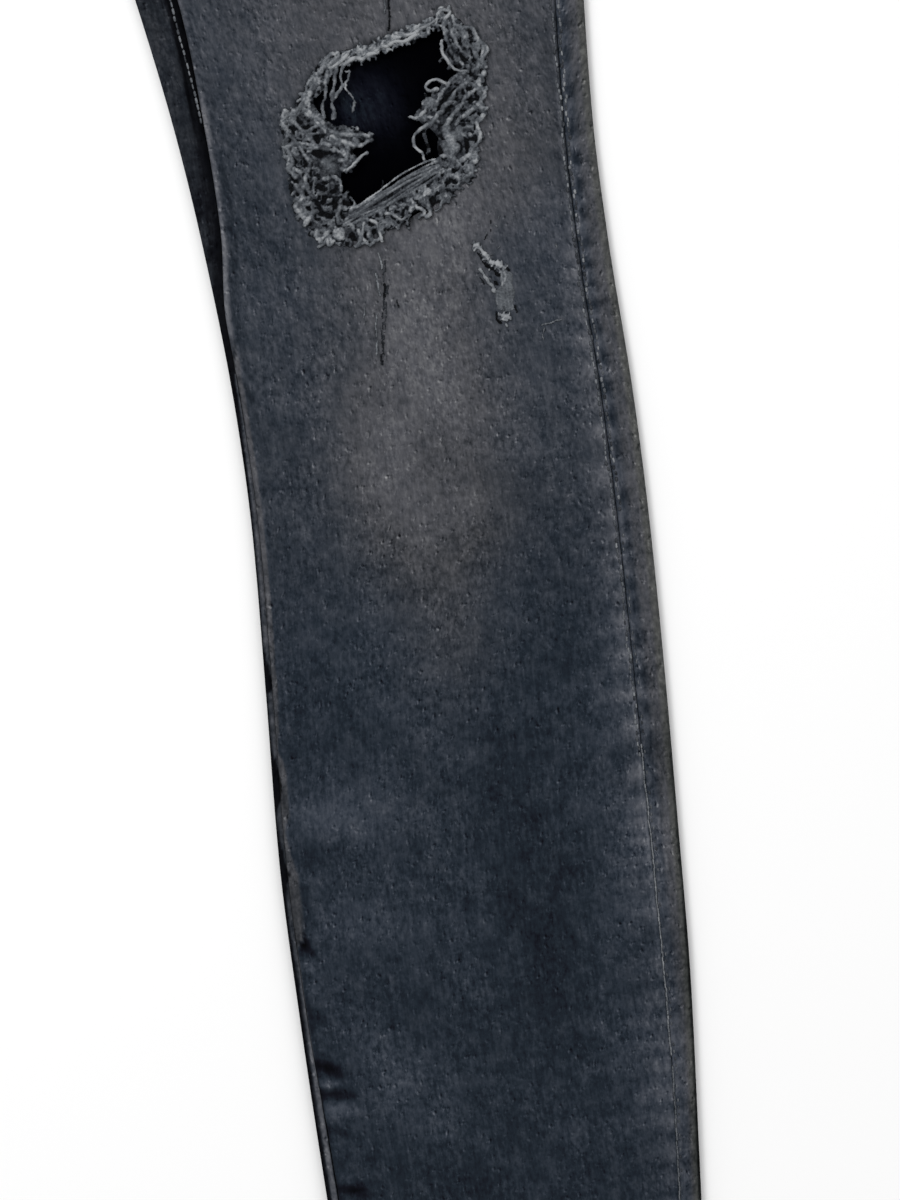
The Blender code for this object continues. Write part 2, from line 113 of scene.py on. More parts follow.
# A leg's two edges, from the centre line, and how steeply its rows rise towards the outside
OUTLINE = table(
    Outline,
    (-0.262, 0, 0.19, 0),
    (-0.202, 0, 0.2, 0),
    (-0.14, 0, 0.221, 0),
    (-0.07, 0, 0.239, 0),
    (0, 0, 0.247, 0),
    (0.04, 0.0165, 0.2485, 0),
    (0.113, 0.0414, 0.2524, 0),
    (0.169, 0.0583, 0.2566, 0),
    (0.226, 0.0729, 0.2637, 0.02),
    (0.301, 0.0884, 0.2754, 0.05),
    (0.357, 0.0964, 0.2825, 0.07),
    (0.432, 0.1029, 0.29, 0.09),
    (0.508, 0.109, 0.2966, 0.1),
    (0.583, 0.1189, 0.3027, 0.105),
    (0.658, 0.1302, 0.3064, 0.11),
    (HEM_DOWN, 0.147, 0.311, 0.11),
)
# How far a front's seams are from its folds
SEAMS = table(
    Seams,
    (CROTCH_DOWN, 0, 0.013),
    (-0.012, 0.012, 0.013),
    (0, 0.022, 0.013),
    (0.113, 0.02, 0.0135),
    (0.169, 0.015, 0.0137),
    (0.221, 0.01, 0.0145),
    (0.264, 0.0036, 0.015),
    (0.32, 0.0033, 0.015),
    (0.432, 0.0033, 0.0145),
    (0.508, 0.0033, 0.0135),
    (0.583, 0.0036, 0.0122),
    (0.64, 0.0053, 0.0105),
    (HEM_DOWN, 0.006, 0.0095),
)
# The height of the middle of the back layer, and how far above it the front layer lies
LEVELS = table(
    Levels,
    (-0.2, 0.0034, 0.0044),
    (-0.15, 0.0021, 0.0036),
    (0.025, 0.0021, 0.0034),
    (0.07, 0.0006, 0.0028),
)

SCOOP_WIDTH = 0.088
SCOOP_DEPTH = 0.068
YOKE_CENTRE = 0.070
YOKE_SIDE = 0.036
LAP_RISE = 0.0015
LAP_RAMP = 0.0075
BAND_LAP = 0.020
BAND_UNDERLAP = 0.018
BAND_RAMP = 0.010
BAND_LAP_RISE = 0.0027

HEM_DROP = OUTLINE[-1].lean * (OUTLINE[-1].outer - OUTLINE[-1].inner) / 2
FORK_Y = (HEM_DOWN + HEM_DROP + WAIST_SEAM_DOWN - BAND_HEIGHT - BACK_RISE) / 2
KNEE_X = 0.1603  # the middle of the rip
KNEE_Y = FORK_Y - 0.1716

# ---------------------------------------------------------------- wear, and painted light and shade

# Along a leg's front: the tone at its sides and at the middle of the fade, the fade's place and reach as
# shares of the width, the extra wear beside the outseam, and how grey the plain cloth is
FADES = table(
    Fade,
    (-0.2, 0.5, 0.58, 0.5, 0.34, 0.1, 0.2),
    (-0.1, 0.52, 0.68, 0.52, 0.34, 0.1, 0.3),
    (0, 0.56, 0.8, 0.58, 0.34, 0.08, 0.35),
    (0.113, 0.55, 0.8, 0.62, 0.36, 0, 0.42),
    (0.188, 0.545, 0.8, 0.6, 0.3, 0.02, 0.35),
    (0.226, 0.56, 0.86, 0.52, 0.23, 0.06, 0.3),
    (0.263, 0.57, 0.85, 0.48, 0.22, 0.06, 0.3),
    (0.301, 0.55, 0.84, 0.48, 0.23, 0.1, 0.3),
    (0.338, 0.51, 0.84, 0.45, 0.21, 0.1, 0.3),
    (0.376, 0.46, 0.69, 0.45, 0.2, 0.15, 0.2),
    (0.414, 0.45, 0.56, 0.49, 0.18, 0.18, 0.05),
    (0.451, 0.47, 0.52, 0.45, 0.19, 0.22, 0),
    (0.489, 0.46, 0.5, 0.38, 0.2, 0.24, 0),
    (0.564, 0.47, 0.47, 0.38, 0.2, 0.24, 0),
    (0.639, 0.45, 0.46, 0.3, 0.18, 0.3, 0),
    (0.672, 0.4, 0.38, 0.4, 0.2, 0.3, 0),
    (HEM_DOWN, 0.44, 0.48, 0.5, 0.3, 0.2, 0.1),
)

# Soft creases of the left front: both ends, the half width, and how much lighter and higher they are. Their
# tone is painted light and shade, mostly lighter where they rise and darker where they sink
FOLDS = table(
    Fold,
    (0.2825, 0.002, 0.2965, 0.009, 0.0014, -0.18, -0.0003),
    (0.28, 0.004, 0.293, 0.0105, 0.0014, 0.16, 0.0003),
    (0.23, 0.0835, 0.285, 0.071, 0.0045, -0.07, -0.0006),
    (0.232, 0.0775, 0.28, 0.066, 0.003, 0.06, 0.0004), (0.09, 0.125, 0.129, 0.114, 0.003, -0.06, -0.0005),
    (0.52, 0.008, 0.536, 0.012, 0.0035, -0.08, -0.0003),
    (0.544, 0.0055, 0.552, 0.009, 0.003, -0.38, -0.0006),
    (0.556, 0.004, 0.561, 0.011, 0.0026, 0.12, 0.0003),
    (0.569, 0.0047, 0.57, 0.0108, 0.004, 0.14, 0.0004),
    (0.578, 0.004, 0.585, 0.012, 0.0026, -0.12, -0.0004),
    (0.604, 0.006, 0.61, 0.0165, 0.003, -0.34, -0.0007),
    (0.6135, 0.006, 0.614, 0.013, 0.0016, 0.26, 0.0004),
    (0.6175, 0.006, 0.62, 0.019, 0.003, -0.3, -0.0006), (0.626, 0.007, 0.6275, 0.02, 0.0034, 0.2, 0.0006),
    (0.634, 0.006, 0.639, 0.016, 0.0026, -0.14, -0.0004),
    (0.6585, 0.008, 0.659, 0.0135, 0.0016, 0.16, 0.0003),
    (0.663, 0.008, 0.665, 0.0195, 0.0026, -0.28, -0.0005),
    (0.674, 0.007, 0.679, 0.02, 0.003, -0.12, -0.0003), (0.6, 0.035, 0.64, 0.055, 0.016, 0.1, 0.0003),
    (0.4905, 0.008, 0.4925, 0.05, 0.01, 0.13, 0.0004), (0.506, 0.01, 0.51, 0.06, 0.007, -0.04, -0.0003),
    (0.5375, 0.012, 0.541, 0.06, 0.011, 0.07, 0.0003), (0.47, 0.118, 0.62, 0.118, 0.022, -0.09, 0),
)
FOLD_STRENGTH = 1.3  # what every fold's tone and rise are multiplied by

# The seam ridge at the inner fold: how far from the fold its dark edge ends and its light face ends, and the
# tone of that face. The dark edge is painted shade where the fold turns away; the light face is worn, with
# painted highlight
RIDGES = table(
    Ridge,
    (0.27, 0.006, 0.0062, 0.62), (0.288, 0.0024, 0.0052, 0.7), (0.34, 0.0012, 0.0058, 0.72),
    (0.408, 0.001, 0.0052, 0.68), (0.419, 0.0022, 0.005, 0.66), (0.428, 0.0032, 0.0056, 0.66),
    (0.431, 0.001, 0.0052, 0.64), (0.448, 0.001, 0.0046, 0.6), (0.457, 0.0012, 0.0036, 0.62),
    (0.463, 0.0022, 0.0055, 0.64), (0.468, 0.0034, 0.0062, 0.66), (0.475, 0.0042, 0.0068, 0.6),
    (0.482, 0.002, 0.0068, 0.54), (0.488, 0.001, 0.006, 0.6), (0.495, 0.0012, 0.0042, 0.6),
    (0.504, 0.002, 0.0052, 0.62), (0.511, 0.0028, 0.0066, 0.64), (0.515, 0.0044, 0.0076, 0.66),
    (0.519, 0.0024, 0.0078, 0.56), (0.526, 0.0016, 0.0074, 0.54), (0.544, 0.0012, 0.007, 0.52),
    (0.55, 0.0014, 0.0036, 0.6), (0.56, 0.0018, 0.0036, 0.7), (0.62, 0.0018, 0.004, 0.78),
    (0.69, 0.002, 0.0046, 0.82),
)

SKIN = CLOTH / 2
TRACK_PITCH = 0.0135  # of the puckers beside the outseam
GROOVE = 0.0010  # how deep the outseam's groove is where it is darkest
WHISKERS = 5
WHISKERS_END = 0.09
# Every noise has a seed of its own, counted from its leg's. A front and its back share the run of puckers.
SEEDS = {"left": 10, "right": 40}
PUCKERS = 5
LATTICE = 64  # after how many features a noise repeats


def smooth(value):
    """0 below 0 and 1 above 1, with a smooth step between them."""
    value = np.clip(value, 0.0, 1.0)
    return value * value * (3 - 2 * value)


def ease(value, start, length):
    """Goes from 0 at the start to 1 a length further on. A negative length runs the other way."""
    return smooth((value - start) / length)


def hill(distance, reach):
    """1 at a distance of 0, and falling away on both sides."""
    return np.exp(-((distance / reach) ** 2))


def read(rows, column, down):
    """A column of a table at any length down, on a monotone cubic through its rows."""
    x = np.array([row.down for row in rows])
    y = np.array([getattr(row, column) for row in rows])
    down = np.clip(down, x[0], x[-1])
    slope = np.diff(y) / np.diff(x)
    before, after = slope[:-1], slope[1:]
    both = np.where(before * after > 0, before + after, 1.0)
    inner = np.where(before * after > 0, 2 * before * after / both, 0.0)
    tangent = np.concatenate([slope[:1], inner, slope[-1:]])
    i = np.clip(np.searchsorted(x, down, side="right") - 1, 0, len(x) - 2)
    step = x[i + 1] - x[i]
    t = (down - x[i]) / step
    return (
        y[i] * (1 + 2 * t) * (1 - t) ** 2
        + y[i + 1] * t * t * (3 - 2 * t)
        + step * (tangent[i] * t * (1 - t) ** 2 - tangent[i + 1] * t * t * (1 - t))
    )


def wobble(a, b, size, seed):
    """Smooth noise from -1 to 1 over two lengths, with features of the given size."""
    lattice = np.random.default_rng(seed).uniform(-1, 1, (LATTICE, LATTICE))
    a, b = np.broadcast_arrays(np.asarray(a) / size, np.asarray(b) / size)
    i, j = np.floor(a).astype(int), np.floor(b).astype(int)
    s, t = smooth(a - i), smooth(b - j)
    i, j = i % LATTICE, j % LATTICE
    k, m = (i + 1) % LATTICE, (j + 1) % LATTICE
    near = lattice[i, j] * (1 - t) + lattice[i, m] * t
    far = lattice[k, j] * (1 - t) + lattice[k, m] * t
    return near * (1 - s) + far * s


def width(down):
    return read(OUTLINE, "outer", down) - read(OUTLINE, "inner", down)


def plan(down, across):
    """x and y of a place on the left leg."""
    lean = read(OUTLINE, "lean", down)
    x = read(OUTLINE, "inner", down) + across
    y = FORK_Y - down + lean * (across - width(down) / 2)
    return x, y


def back_height(down):
    return read(LEVELS, "back", down)


def front_height(down, across):
    """The middle of the front layer, which the folds at the sides hold up."""
    lift = read(LEVELS, "lift", down)
    near_outer = 1 - smooth((width(down) - across - FOLD_RADIUS) / FOLD_SPREAD)
    near_inner = 1 - smooth((across - FOLD_RADIUS) / FOLD_SPREAD)
    near_inner = near_inner * smooth(1 + down / FORK_LEVEL)
    return back_height(down) + lift + (2 * FOLD_RADIUS - lift) * np.maximum(near_outer, near_inner)


def inseam_across(down):
    return read(SEAMS, "inseam", down)


def outseam_across(down):
    return width(down) - read(SEAMS, "outseam", down)


def front_waist_down(x):
    return WAIST_SEAM_DOWN + FRONT_DIP * (1 - (x / OUTLINE[1].outer) ** 2)


def back_waist_down(x):
    return WAIST_SEAM_DOWN - BACK_RISE * (1 - (x / OUTLINE[1].outer) ** 2)


def yoke_down(x):
    return back_waist_down(x) + YOKE_CENTRE + (YOKE_SIDE - YOKE_CENTRE) * x / OUTLINE[1].outer


def points(x, y, z):
    return np.stack(np.broadcast_arrays(x, y, z), axis=-1)


def placed(down, across, z):
    return points(*plan(down, across), z)


def about_rip(x, y):
    """The bearing of a place from the middle of the rip, and how far away it is."""
    return np.arctan2(y - KNEE_Y, x - KNEE_X), np.hypot(x - KNEE_X, y - KNEE_Y)


# ---------------------------------------------------------------- relief of the cloth, in metres


def track(down, seed):
    """The run of puckers along the outseam: 1 on a ridge and 0 in a dip."""
    phase = down / TRACK_PITCH + 0.9 * wobble(down, 0.0, 0.045, seed)
    strength = 0.75 + 0.25 * wobble(down, 0.3, 0.06, seed + 1)
    return np.clip(0.5 + 0.62 * strength * np.sin(2 * np.pi * phase), 0, 1)


def front_relief(down, across, seed):
    """How far the upper side of a front stands off its plain form."""
    to_in = across - inseam_across(down)
    to_out = outseam_across(down) - across
    inner = smooth(to_in / 0.03) * smooth(to_out / 0.03)
    rise = 0.0004 * wobble(across, down, 0.060, seed) + 0.00025 * wobble(across, down, 0.022, seed + 1)
    rise *= inner
    rise += 0.00008 * wobble(across, down, 0.007, seed + 4)
    rise += (0.0003 + 0.00045 * track(down, seed + PUCKERS)) * hill(to_out - 0.005, 0.004)
    rise -= GROOVE * groove_depth_and_shade(down) * hill(to_out, 0.0008)
    lapped = ease(down, 0.30, -0.03) * ease(down, -0.02, 0.02)
    rise += lapped * (0.0011 * hill(to_in, 0.0045) - 0.0012 * hill(to_in, 0.0005))
    rise -= (1 - lapped) * 0.0006 * hill(to_in, 0.0008)
    rise += 0.0008 * whiskers(down, across)
    if seed == SEEDS["left"]:
        rise += creased(down, across, "rise")
    return rise


def strip_relief(down, out, seed):
    """The puckers of a back's strip beside the outseam, and the groove at the seam."""
    rise = (0.0002 + 0.0005 * track(down, seed + PUCKERS)) * hill(out - 0.0045, 0.0035)
    return rise - GROOVE * groove_depth_and_shade(down) * hill(out, 0.0008)


def from_line(a, b, start_a, start_b, end_a, end_b):
    """How far points are from a straight line between two others, and their share of the way along it."""
    run, aside = end_a - start_a, end_b - start_b
    share = np.clip(((a - start_a) * run + (b - start_b) * aside) / (run**2 + aside**2), 0, 1)
    return np.hypot(a - start_a - share * run, b - start_b - share * aside), share


def creased(down, across, key):
    """The left front's soft creases added up: their painted light and shade, or their rise."""
    total = 0 * down
    for fold in FOLDS:
        away, share = from_line(down, across, fold.down, fold.across, fold.to_down, fold.to_across)
        uneven = 0.6 + 0.4 * np.cos(3 * share - 1.2)
        total = total + FOLD_STRENGTH * getattr(fold, key) * hill(away, fold.reach) * uneven
    return total


def whiskers(down, across):
    """The creases that fan out from the fork of the legs over the hip: 1 on their lines."""
    total = 0 * down
    for step in range(WHISKERS):
        angle = math.radians(-28 + 17 * step)
        x, y = across - 0.02, down + 0.035 - 0.012 * step
        along = x * math.cos(angle) - y * math.sin(angle)
        off = x * math.sin(angle) + y * math.cos(angle) + 0.004 * np.sin(along * 40 + step)
        reach = smooth(along / 0.03) * (1 - smooth((along - 0.10 - 0.012 * step) / 0.06))
        total = total + reach * hill(off, 0.0045) * (down < WHISKERS_END)
    return total


def streaks(down, across, seed):
    """The uneven lengthwise streaks in the fade of a leg, which end below the knee."""
    return wobble(across * 3.2, down * 0.55, 0.030, seed) * ease(down, 0.42, -0.1)


# ---------------------------------------------------------------- tone and tint of the cloth


def seam_waver(down):
    """How far the outseam's line, with its painted groove shade, strays outwards."""
    return 0.0005 * wobble(down, 0.0, 0.0055, 17)


def groove_depth_and_shade(down):
    """How deep the outseam's groove is and how dark its painted shade is: both fade down the leg, where the
    cloth beside it is dark too.
    """
    return 0.28 - 0.24 * ease(down, 0.20, 0.35)


def painted_groove_shade(away, down, seed):
    """The painted shade in the outseam's groove, away from its line."""
    return groove_depth_and_shade(down) * hill(away, 0.0012 + 0.0005 * wobble(down, 0.0, 0.004, seed + 8))


def seam_bands(down):
    """The dark bands that cross the lower outseam: 1 in the middle of each."""
    return hill(down - 0.475, 0.020) + hill(down - 0.575, 0.025) + hill(down - 0.668, 0.030)


def front_wear_and_shade(down, across, seed):
    """Tone and tint of a front."""
    to_in = across - inseam_across(down)
    to_out = outseam_across(down) - across
    puckers = track(down, seed + PUCKERS)
    plain, grey = read(FADES, "side", down), read(FADES, "grey", down)
    # the fade down the middle, and the worn puckers along the outseam
    fade = read(FADES, "middle", down) - plain
    centre = hill(across / width(down) - read(FADES, "place", down), read(FADES, "reach", down))
    centre = centre * (1 + 0.30 * wobble(across, down, 0.030, seed) + 0.12 * streaks(down, across, seed + 6))
    seam = read(FADES, "seam", down) * hill(to_out, 0.016)
    seam += 0.20 * hill(to_out - 0.003, 0.0055) * ease(down, 0.19, 0.06) * ease(down, 0.54, -0.06)
    seam *= 0.55 + 0.65 * puckers
    tone = plain + fade * centre + seam
    tone += 0.040 * wobble(across, down, 0.045, seed + 2) + 0.045 * wobble(across, down, 0.013, seed + 3)
    tone -= 0.10 * (1 - puckers) * hill(to_out - 0.004, 0.003) * ease(down, 0.7, -0.3)
    tone += 0.16 * whiskers(down, across)
    tint = grey + (1 - grey) * smooth(centre * fade / 0.24) + 0.9 * seam
    # the light rim at the inner fold, worn and with painted highlight, and painted shade in the dip beside it
    rim = hill(to_in - 0.0012, 0.0012) * (1 + 0.25 * wobble(down, 0.0, 0.012, seed + 9))
    rim *= (0.35 + 0.65 * ease(down, 0.150, 0.02)) * ease(down, 0.40, -0.1)
    tone += 0.42 * rim
    tone -= 0.10 * hill(to_in - 0.0048, 0.0022) * ease(down, 0.17, 0.02) * ease(down, 0.31, -0.02)
    # the outseam's bands, painted shade in its groove, and the light lip of the groove
    tone -= 0.13 * seam_bands(down) * hill(to_out - 0.005, 0.011)
    tone -= painted_groove_shade(to_out + seam_waver(down), down, seed)
    lip = hill(to_out - 0.0017, 0.0011) * (1 + 0.45 * wobble(down, 0.0, 0.006, seed + 11))
    tone += 0.17 * lip * (1 - ease(down, 0.54, 0.05))
    # painted light and shade on the left front's creases
    if seed == SEEDS["left"]:
        tone += creased(down, across, "tone")
    return tone, np.clip(tint + 0.35 * rim, 0, 1.6)


def strip_wear_and_shade(down, out, seed):
    """The back's strip between the outseam and the fold: tone and tint. out is the distance from the seam."""
    to_fold = out - read(SEAMS, "outseam", down)
    dips = (1 - track(down, seed + PUCKERS)) * hill(out - 0.0036, 0.0034)
    low = ease(down, 0.44, 0.08)
    tone = 0.74 - 0.34 * (1 - 0.6 * low) * dips
    tone += 0.04 * ease(down, 0.42, 0.06) - 0.15 * seam_bands(down)
    # painted shade in the outseam's groove
    tone -= painted_groove_shade(out - seam_waver(down), down, seed)
    lip = hill(out - 0.0016, 0.0011) * (1 + 0.60 * wobble(down, 0.0, 0.0045, seed + 12))
    tone += 0.18 * lip * (1 - 0.75 * ease(down, 0.30, 0.25))
    # painted shade low on the leg, where the strip turns down into the fold
    tone -= low * (0.10 * ease(to_fold, -0.005, 0.003) + 0.34 * ease(to_fold, -0.0022, 0.001))
    rim = ease(to_fold, -0.0052, 0.0030)
    tone += 0.07 * rim + 0.05 * wobble(out, down, 0.007, seed + 7) * (1 - 0.7 * rim)
    return tone, 0.30 + 0.60 * ease(out, 0.003, 0.005) + 0.9 * rim


def ridge_wear_and_shade(down, across, tone):
    """The seam at the inner fold, over a tone: its light roped face, worn and with painted highlight, and its
    black outer edge and the dark line beside it, painted shade.
    """
    dark = read(RIDGES, "dark", down)
    light = read(RIDGES, "light", down)
    face = read(RIDGES, "tone", down)
    on = ease(down, 0.262, 0.02)
    face = face + 0.10 * hill(across - light + 0.0007, 0.0006) + 0.06 * wobble(across, down, 0.009, 71)
    inside = smooth((across - dark) / 0.0006)
    beyond = smooth((across - light) / 0.0008)
    # painted shade: a dark line beside the ridge, and the ridge's black outer edge where the fold turns away
    shade = 0.14 * hill(across - light - 0.0014, 0.0012) * ease(down, 0.54, 0.02)
    ridge = 0.12 * (1 - inside) + face * inside
    out = ridge * (1 - beyond) + (tone - shade) * beyond
    return tone + (out - tone) * on, on * (1 - beyond)


# ---------------------------------------------------------------- meshes


RIM, BESIDE_RIM = 0.45, 0.85  # how thick a cloth's edge and the row beside it are, as shares of the cloth


def finish_mesh(name, mesh, material):
    """Puts a mesh in the scene as a piece."""
    mesh.materials.append(material)
    mesh.shade_smooth()
    made = bpy.data.objects.new(name, mesh)
    bpy.context.scene.collection.objects.link(made)
    return made


def add_layer(mesh, name, values):
    layer = mesh.attributes.new(name, "FLOAT", "POINT")
    layer.data.foreach_set("value", np.ascontiguousarray(values, np.float32).reshape(-1))


def cloth(name, grid, grain, tone, tint, material, keep=None, thickness=CLOTH, mirrored=False):
    """A closed thin shell on a grid of points, with thin round edges."""
    rows, columns = grid.shape[:2]
    corner = np.arange(rows * columns).reshape(rows, columns)
    quads = np.stack([corner[:-1, :-1], corner[:-1, 1:], corner[1:, 1:], corner[1:, :-1]], axis=-1)
    quads = quads.reshape(-1, 4) if keep is None else quads[keep]
    grid = np.array(grid, float)
    if mirrored:
        grid[..., 0] *= -1
        quads = quads[:, ::-1]
    mesh = bpy.data.meshes.new(name)
    mesh.from_pydata(grid.reshape(-1, 3).tolist(), [], quads.tolist())
    add_layer(mesh, "tone", np.broadcast_to(tone, (rows, columns)))
    add_layer(mesh, "tint", np.broadcast_to(tint, (rows, columns)))
    uv = mesh.uv_layers.new(name="Cloth")
    uv.data.foreach_set("uv", grain.reshape(-1, 2)[quads.reshape(-1)].astype(np.float32).reshape(-1))
    bm = bmesh.new()
    bm.from_mesh(mesh)
    bmesh.ops.delete(bm, geom=[v for v in bm.verts if not v.link_faces], context="VERTS")
    bmesh.ops.remove_doubles(bm, verts=bm.verts, dist=1e-6)
    bm.verts.index_update()
    rim = [v.index for v in bm.verts if v.is_boundary]
    beside = {e.other_vert(v).index for v in bm.verts if v.is_boundary for e in v.link_edges}
    count = len(bm.verts)
    bm.to_mesh(mesh)
    bm.free()
    made = finish_mesh(name, mesh, material)
    weights = made.vertex_groups.new(name="cloth")
    weights.add(list(range(count)), 1.0, "REPLACE")
    weights.add(sorted(beside), BESIDE_RIM, "REPLACE")
    weights.add(rim, RIM, "REPLACE")
    solidify = made.modifiers.new("Cloth", "SOLIDIFY")
    solidify.thickness = thickness
    solidify.offset = 0.0
    solidify.vertex_group = "cloth"
    return made


PAINTED_UNDERSIDE_SHARE = 0.42  # the painted-shade tone of a thread's underside, as a share of its upper side's


def tubes(name, paths, radii, tones, sides, material):
    """Threads as one mesh: closed tubes round paths, with painted light on top and painted shade below."""
    verts, faces, shades = [], [], []
    turn = np.linspace(0, 2 * np.pi, sides, endpoint=False)
    ring, rise = np.cos(turn), np.sin(turn)
    total = 0
    for path, radius, tone in zip(paths, radii, tones):
        path = np.asarray(path, float)
        count = len(path)
        along = np.gradient(path, axis=0)
        along /= np.linalg.norm(along, axis=1)[:, None] + 1e-12
        side = np.cross(along, (0.0, 0.0, 1.0))
        side /= np.linalg.norm(side, axis=1)[:, None] + 1e-12
        up = np.cross(side, along)
        radius = np.broadcast_to(radius, count)[:, None, None]
        around = side[:, None] * ring[:, None] + up[:, None] * rise[:, None]
        verts.append((path[:, None] + around * radius).reshape(-1, 3))
        # painted light on each thread's top and painted shade on its underside
        painted_light = PAINTED_UNDERSIDE_SHARE + (1 - PAINTED_UNDERSIDE_SHARE) * smooth(0.5 + rise)
        shades.append((np.broadcast_to(tone, count)[:, None] * painted_light).reshape(-1))
        index = total + np.arange(count * sides).reshape(count, sides)
        after = np.roll(index, -1, axis=1)
        quads = np.stack([index[:-1], after[:-1], after[1:], index[1:]], axis=-1).reshape(-1, 4)
        faces += quads.tolist()
        faces.append(index[0][::-1].tolist())
        faces.append(index[-1].tolist())
        total += count * sides
    mesh = bpy.data.meshes.new(name)
    mesh.from_pydata(np.concatenate(verts).tolist(), [], faces)
    add_layer(mesh, "tone", np.concatenate(shades))
    mesh.update()
    return finish_mesh(name, mesh, material)


# ---------------------------------------------------------------- materials

LIGHT = 1.14  # how much light a level white surface sends back under the scene's lights
NOISE_RANGE = (0.35, 0.65)
SALT = (0.0021, 0.0034)  # how wide and long the weave's light grains are, in metres
FLECKS = (0.70, 2.0, 0.0, 1.0)  # the part of the noise that shows as flecks
FLECK_SHADOW_ASIDE = (0.0009, -0.0008)  # how far each fleck's painted shadow is from it


def linear(grey):
    """A screen's grey, from 0 to 255, as a share of the light."""
    grey /= 255
    return grey / 12.92 if grey <= 0.04045 else ((grey + 0.055) / 1.055) ** 2.4


def ramp(nodes, stops):
    """A colour ramp from stops of a tone and the colour that it has in the finished picture."""
    made = nodes.new("ShaderNodeValToRGB")
    elements = made.color_ramp.elements
    while len(elements) < len(stops):
        elements.new(0.5)
    for element, (place, colour) in zip(elements, stops):
        element.position = place / FULL
        element.color = (*[linear(c) / LIGHT for c in colour], 1.0)
    return made


# What colour a tone has, in each tint and in the yarn
FULL = 1.6  # the tone at the end of the stops
NAVY = (
    (0, (2, 2, 4)), (0.2, (18, 20, 29)), (0.4, (31, 39, 48)), (0.55, (47, 54, 64)),
    (0.75, (67, 73, 83)), (1, (94, 98, 107)), (1.6, (152, 156, 162)),
)
NEUTRAL = (
    (0, (6, 6, 7)), (0.2, (19, 20, 22)), (0.4, (37, 39, 43)), (0.6, (57, 59, 63)),
    (0.85, (82, 83, 88)), (1.1, (108, 109, 113)), (1.6, (159, 159, 161)),
)
WARM = (
    (0, (6, 6, 6)), (0.2, (20, 21, 20)), (0.4, (38, 40, 39)), (0.6, (58, 60, 58)),
    (0.85, (82, 83, 81)), (1.1, (108, 109, 106)), (1.6, (159, 159, 157)),
)
YARN = (
    (0, (4, 4, 6)), (0.2, (17, 20, 24)), (0.4, (36, 39, 44)), (0.6, (56, 59, 64)),
    (0.85, (80, 84, 89)), (1.1, (105, 109, 114)), (1.6, (158, 161, 164)),
)


class Graph:
    """A material's nodes, joined by name."""

    def __init__(self, name):
        self.material = bpy.data.materials.new(name)
        self.material.use_nodes = True
        self.tree = self.material.node_tree
        self.nodes = self.tree.nodes
        self.shader = self.nodes["Principled BSDF"]

    def feed(self, socket, value):
        """Sets a socket to a plain value, or joins it to another node's output."""
        if isinstance(value, (int, float, tuple)):
            socket.default_value = value
        else:
            self.tree.links.new(value, socket)

    def node(self, kind, output, settings=(), **inputs):
        """Adds a node, with its inputs named with _ for a space, and returns one of its outputs."""
        made = self.nodes.new(f"ShaderNode{kind}")
        for name, value in dict(settings).items():
            setattr(made, name, value)
        for name, value in inputs.items():
            self.feed(made.inputs[name.replace("_", " ")], value)
        return made.outputs[output]

    def surface(self, **inputs):
        for name, value in inputs.items():
            self.feed(self.shader.inputs[name.replace("_", " ")], value)

    def attribute(self, name):
        return self.node("Attribute", "Fac", {"attribute_name": name})

    def grain(self, source, across, along, detail=2.0, shift=0.0, aside=(0.0, 0.0)):
        """Noise with features of the given sizes in metres, stretched so that its usual range is -1 to 1."""
        scale = (1 / across, 1 / along, 1 / across)
        place = (shift - aside[0] / across, shift * 0.7 - aside[1] / along, 0)
        moved = self.node("Mapping", "Vector", Vector=source, Scale=scale, Location=place)
        noise = self.node("TexNoise", "Fac", Vector=moved, Scale=1.0, Detail=detail, Roughness=0.6)
        return self.scaled(noise, *NOISE_RANGE, -1.0, 1.0, clamp=False)

    def scaled(self, source, low, high, to_low, to_high, clamp=True):
        ends = {"From_Min": low, "From_Max": high, "To_Min": to_low, "To_Max": to_high}
        return self.node("MapRange", "Result", {"clamp": clamp}, Value=source, **ends)

    def math(self, operation, first, second):
        made = self.nodes.new("ShaderNodeMath")
        made.operation = operation
        for socket, value in zip(made.inputs, (first, second)):
            self.feed(socket, value)
        return made.outputs["Value"]

    def times(self, first, second):
        return self.math("MULTIPLY", first, second)

    def sum(self, *terms):
        total = terms[0]
        for term in terms[1:]:
            total = self.math("ADD", total, term)
        return total

    def mix(self, share, first, second):
        return self.node("Mix", "Result", {"data_type": "RGBA"}, Factor=share, A=first, B=second)

    def toned(self, tone, stops):
        """The colour of a tone, which comes divided by FULL."""
        made = ramp(self.nodes, stops)
        self.feed(made.inputs["Fac"], tone)
        return made.outputs["Color"]

    def bump(self, height, strength, distance):
        self.surface(Normal=self.node("Bump", "Normal", Height=height, Strength=strength, Distance=distance))


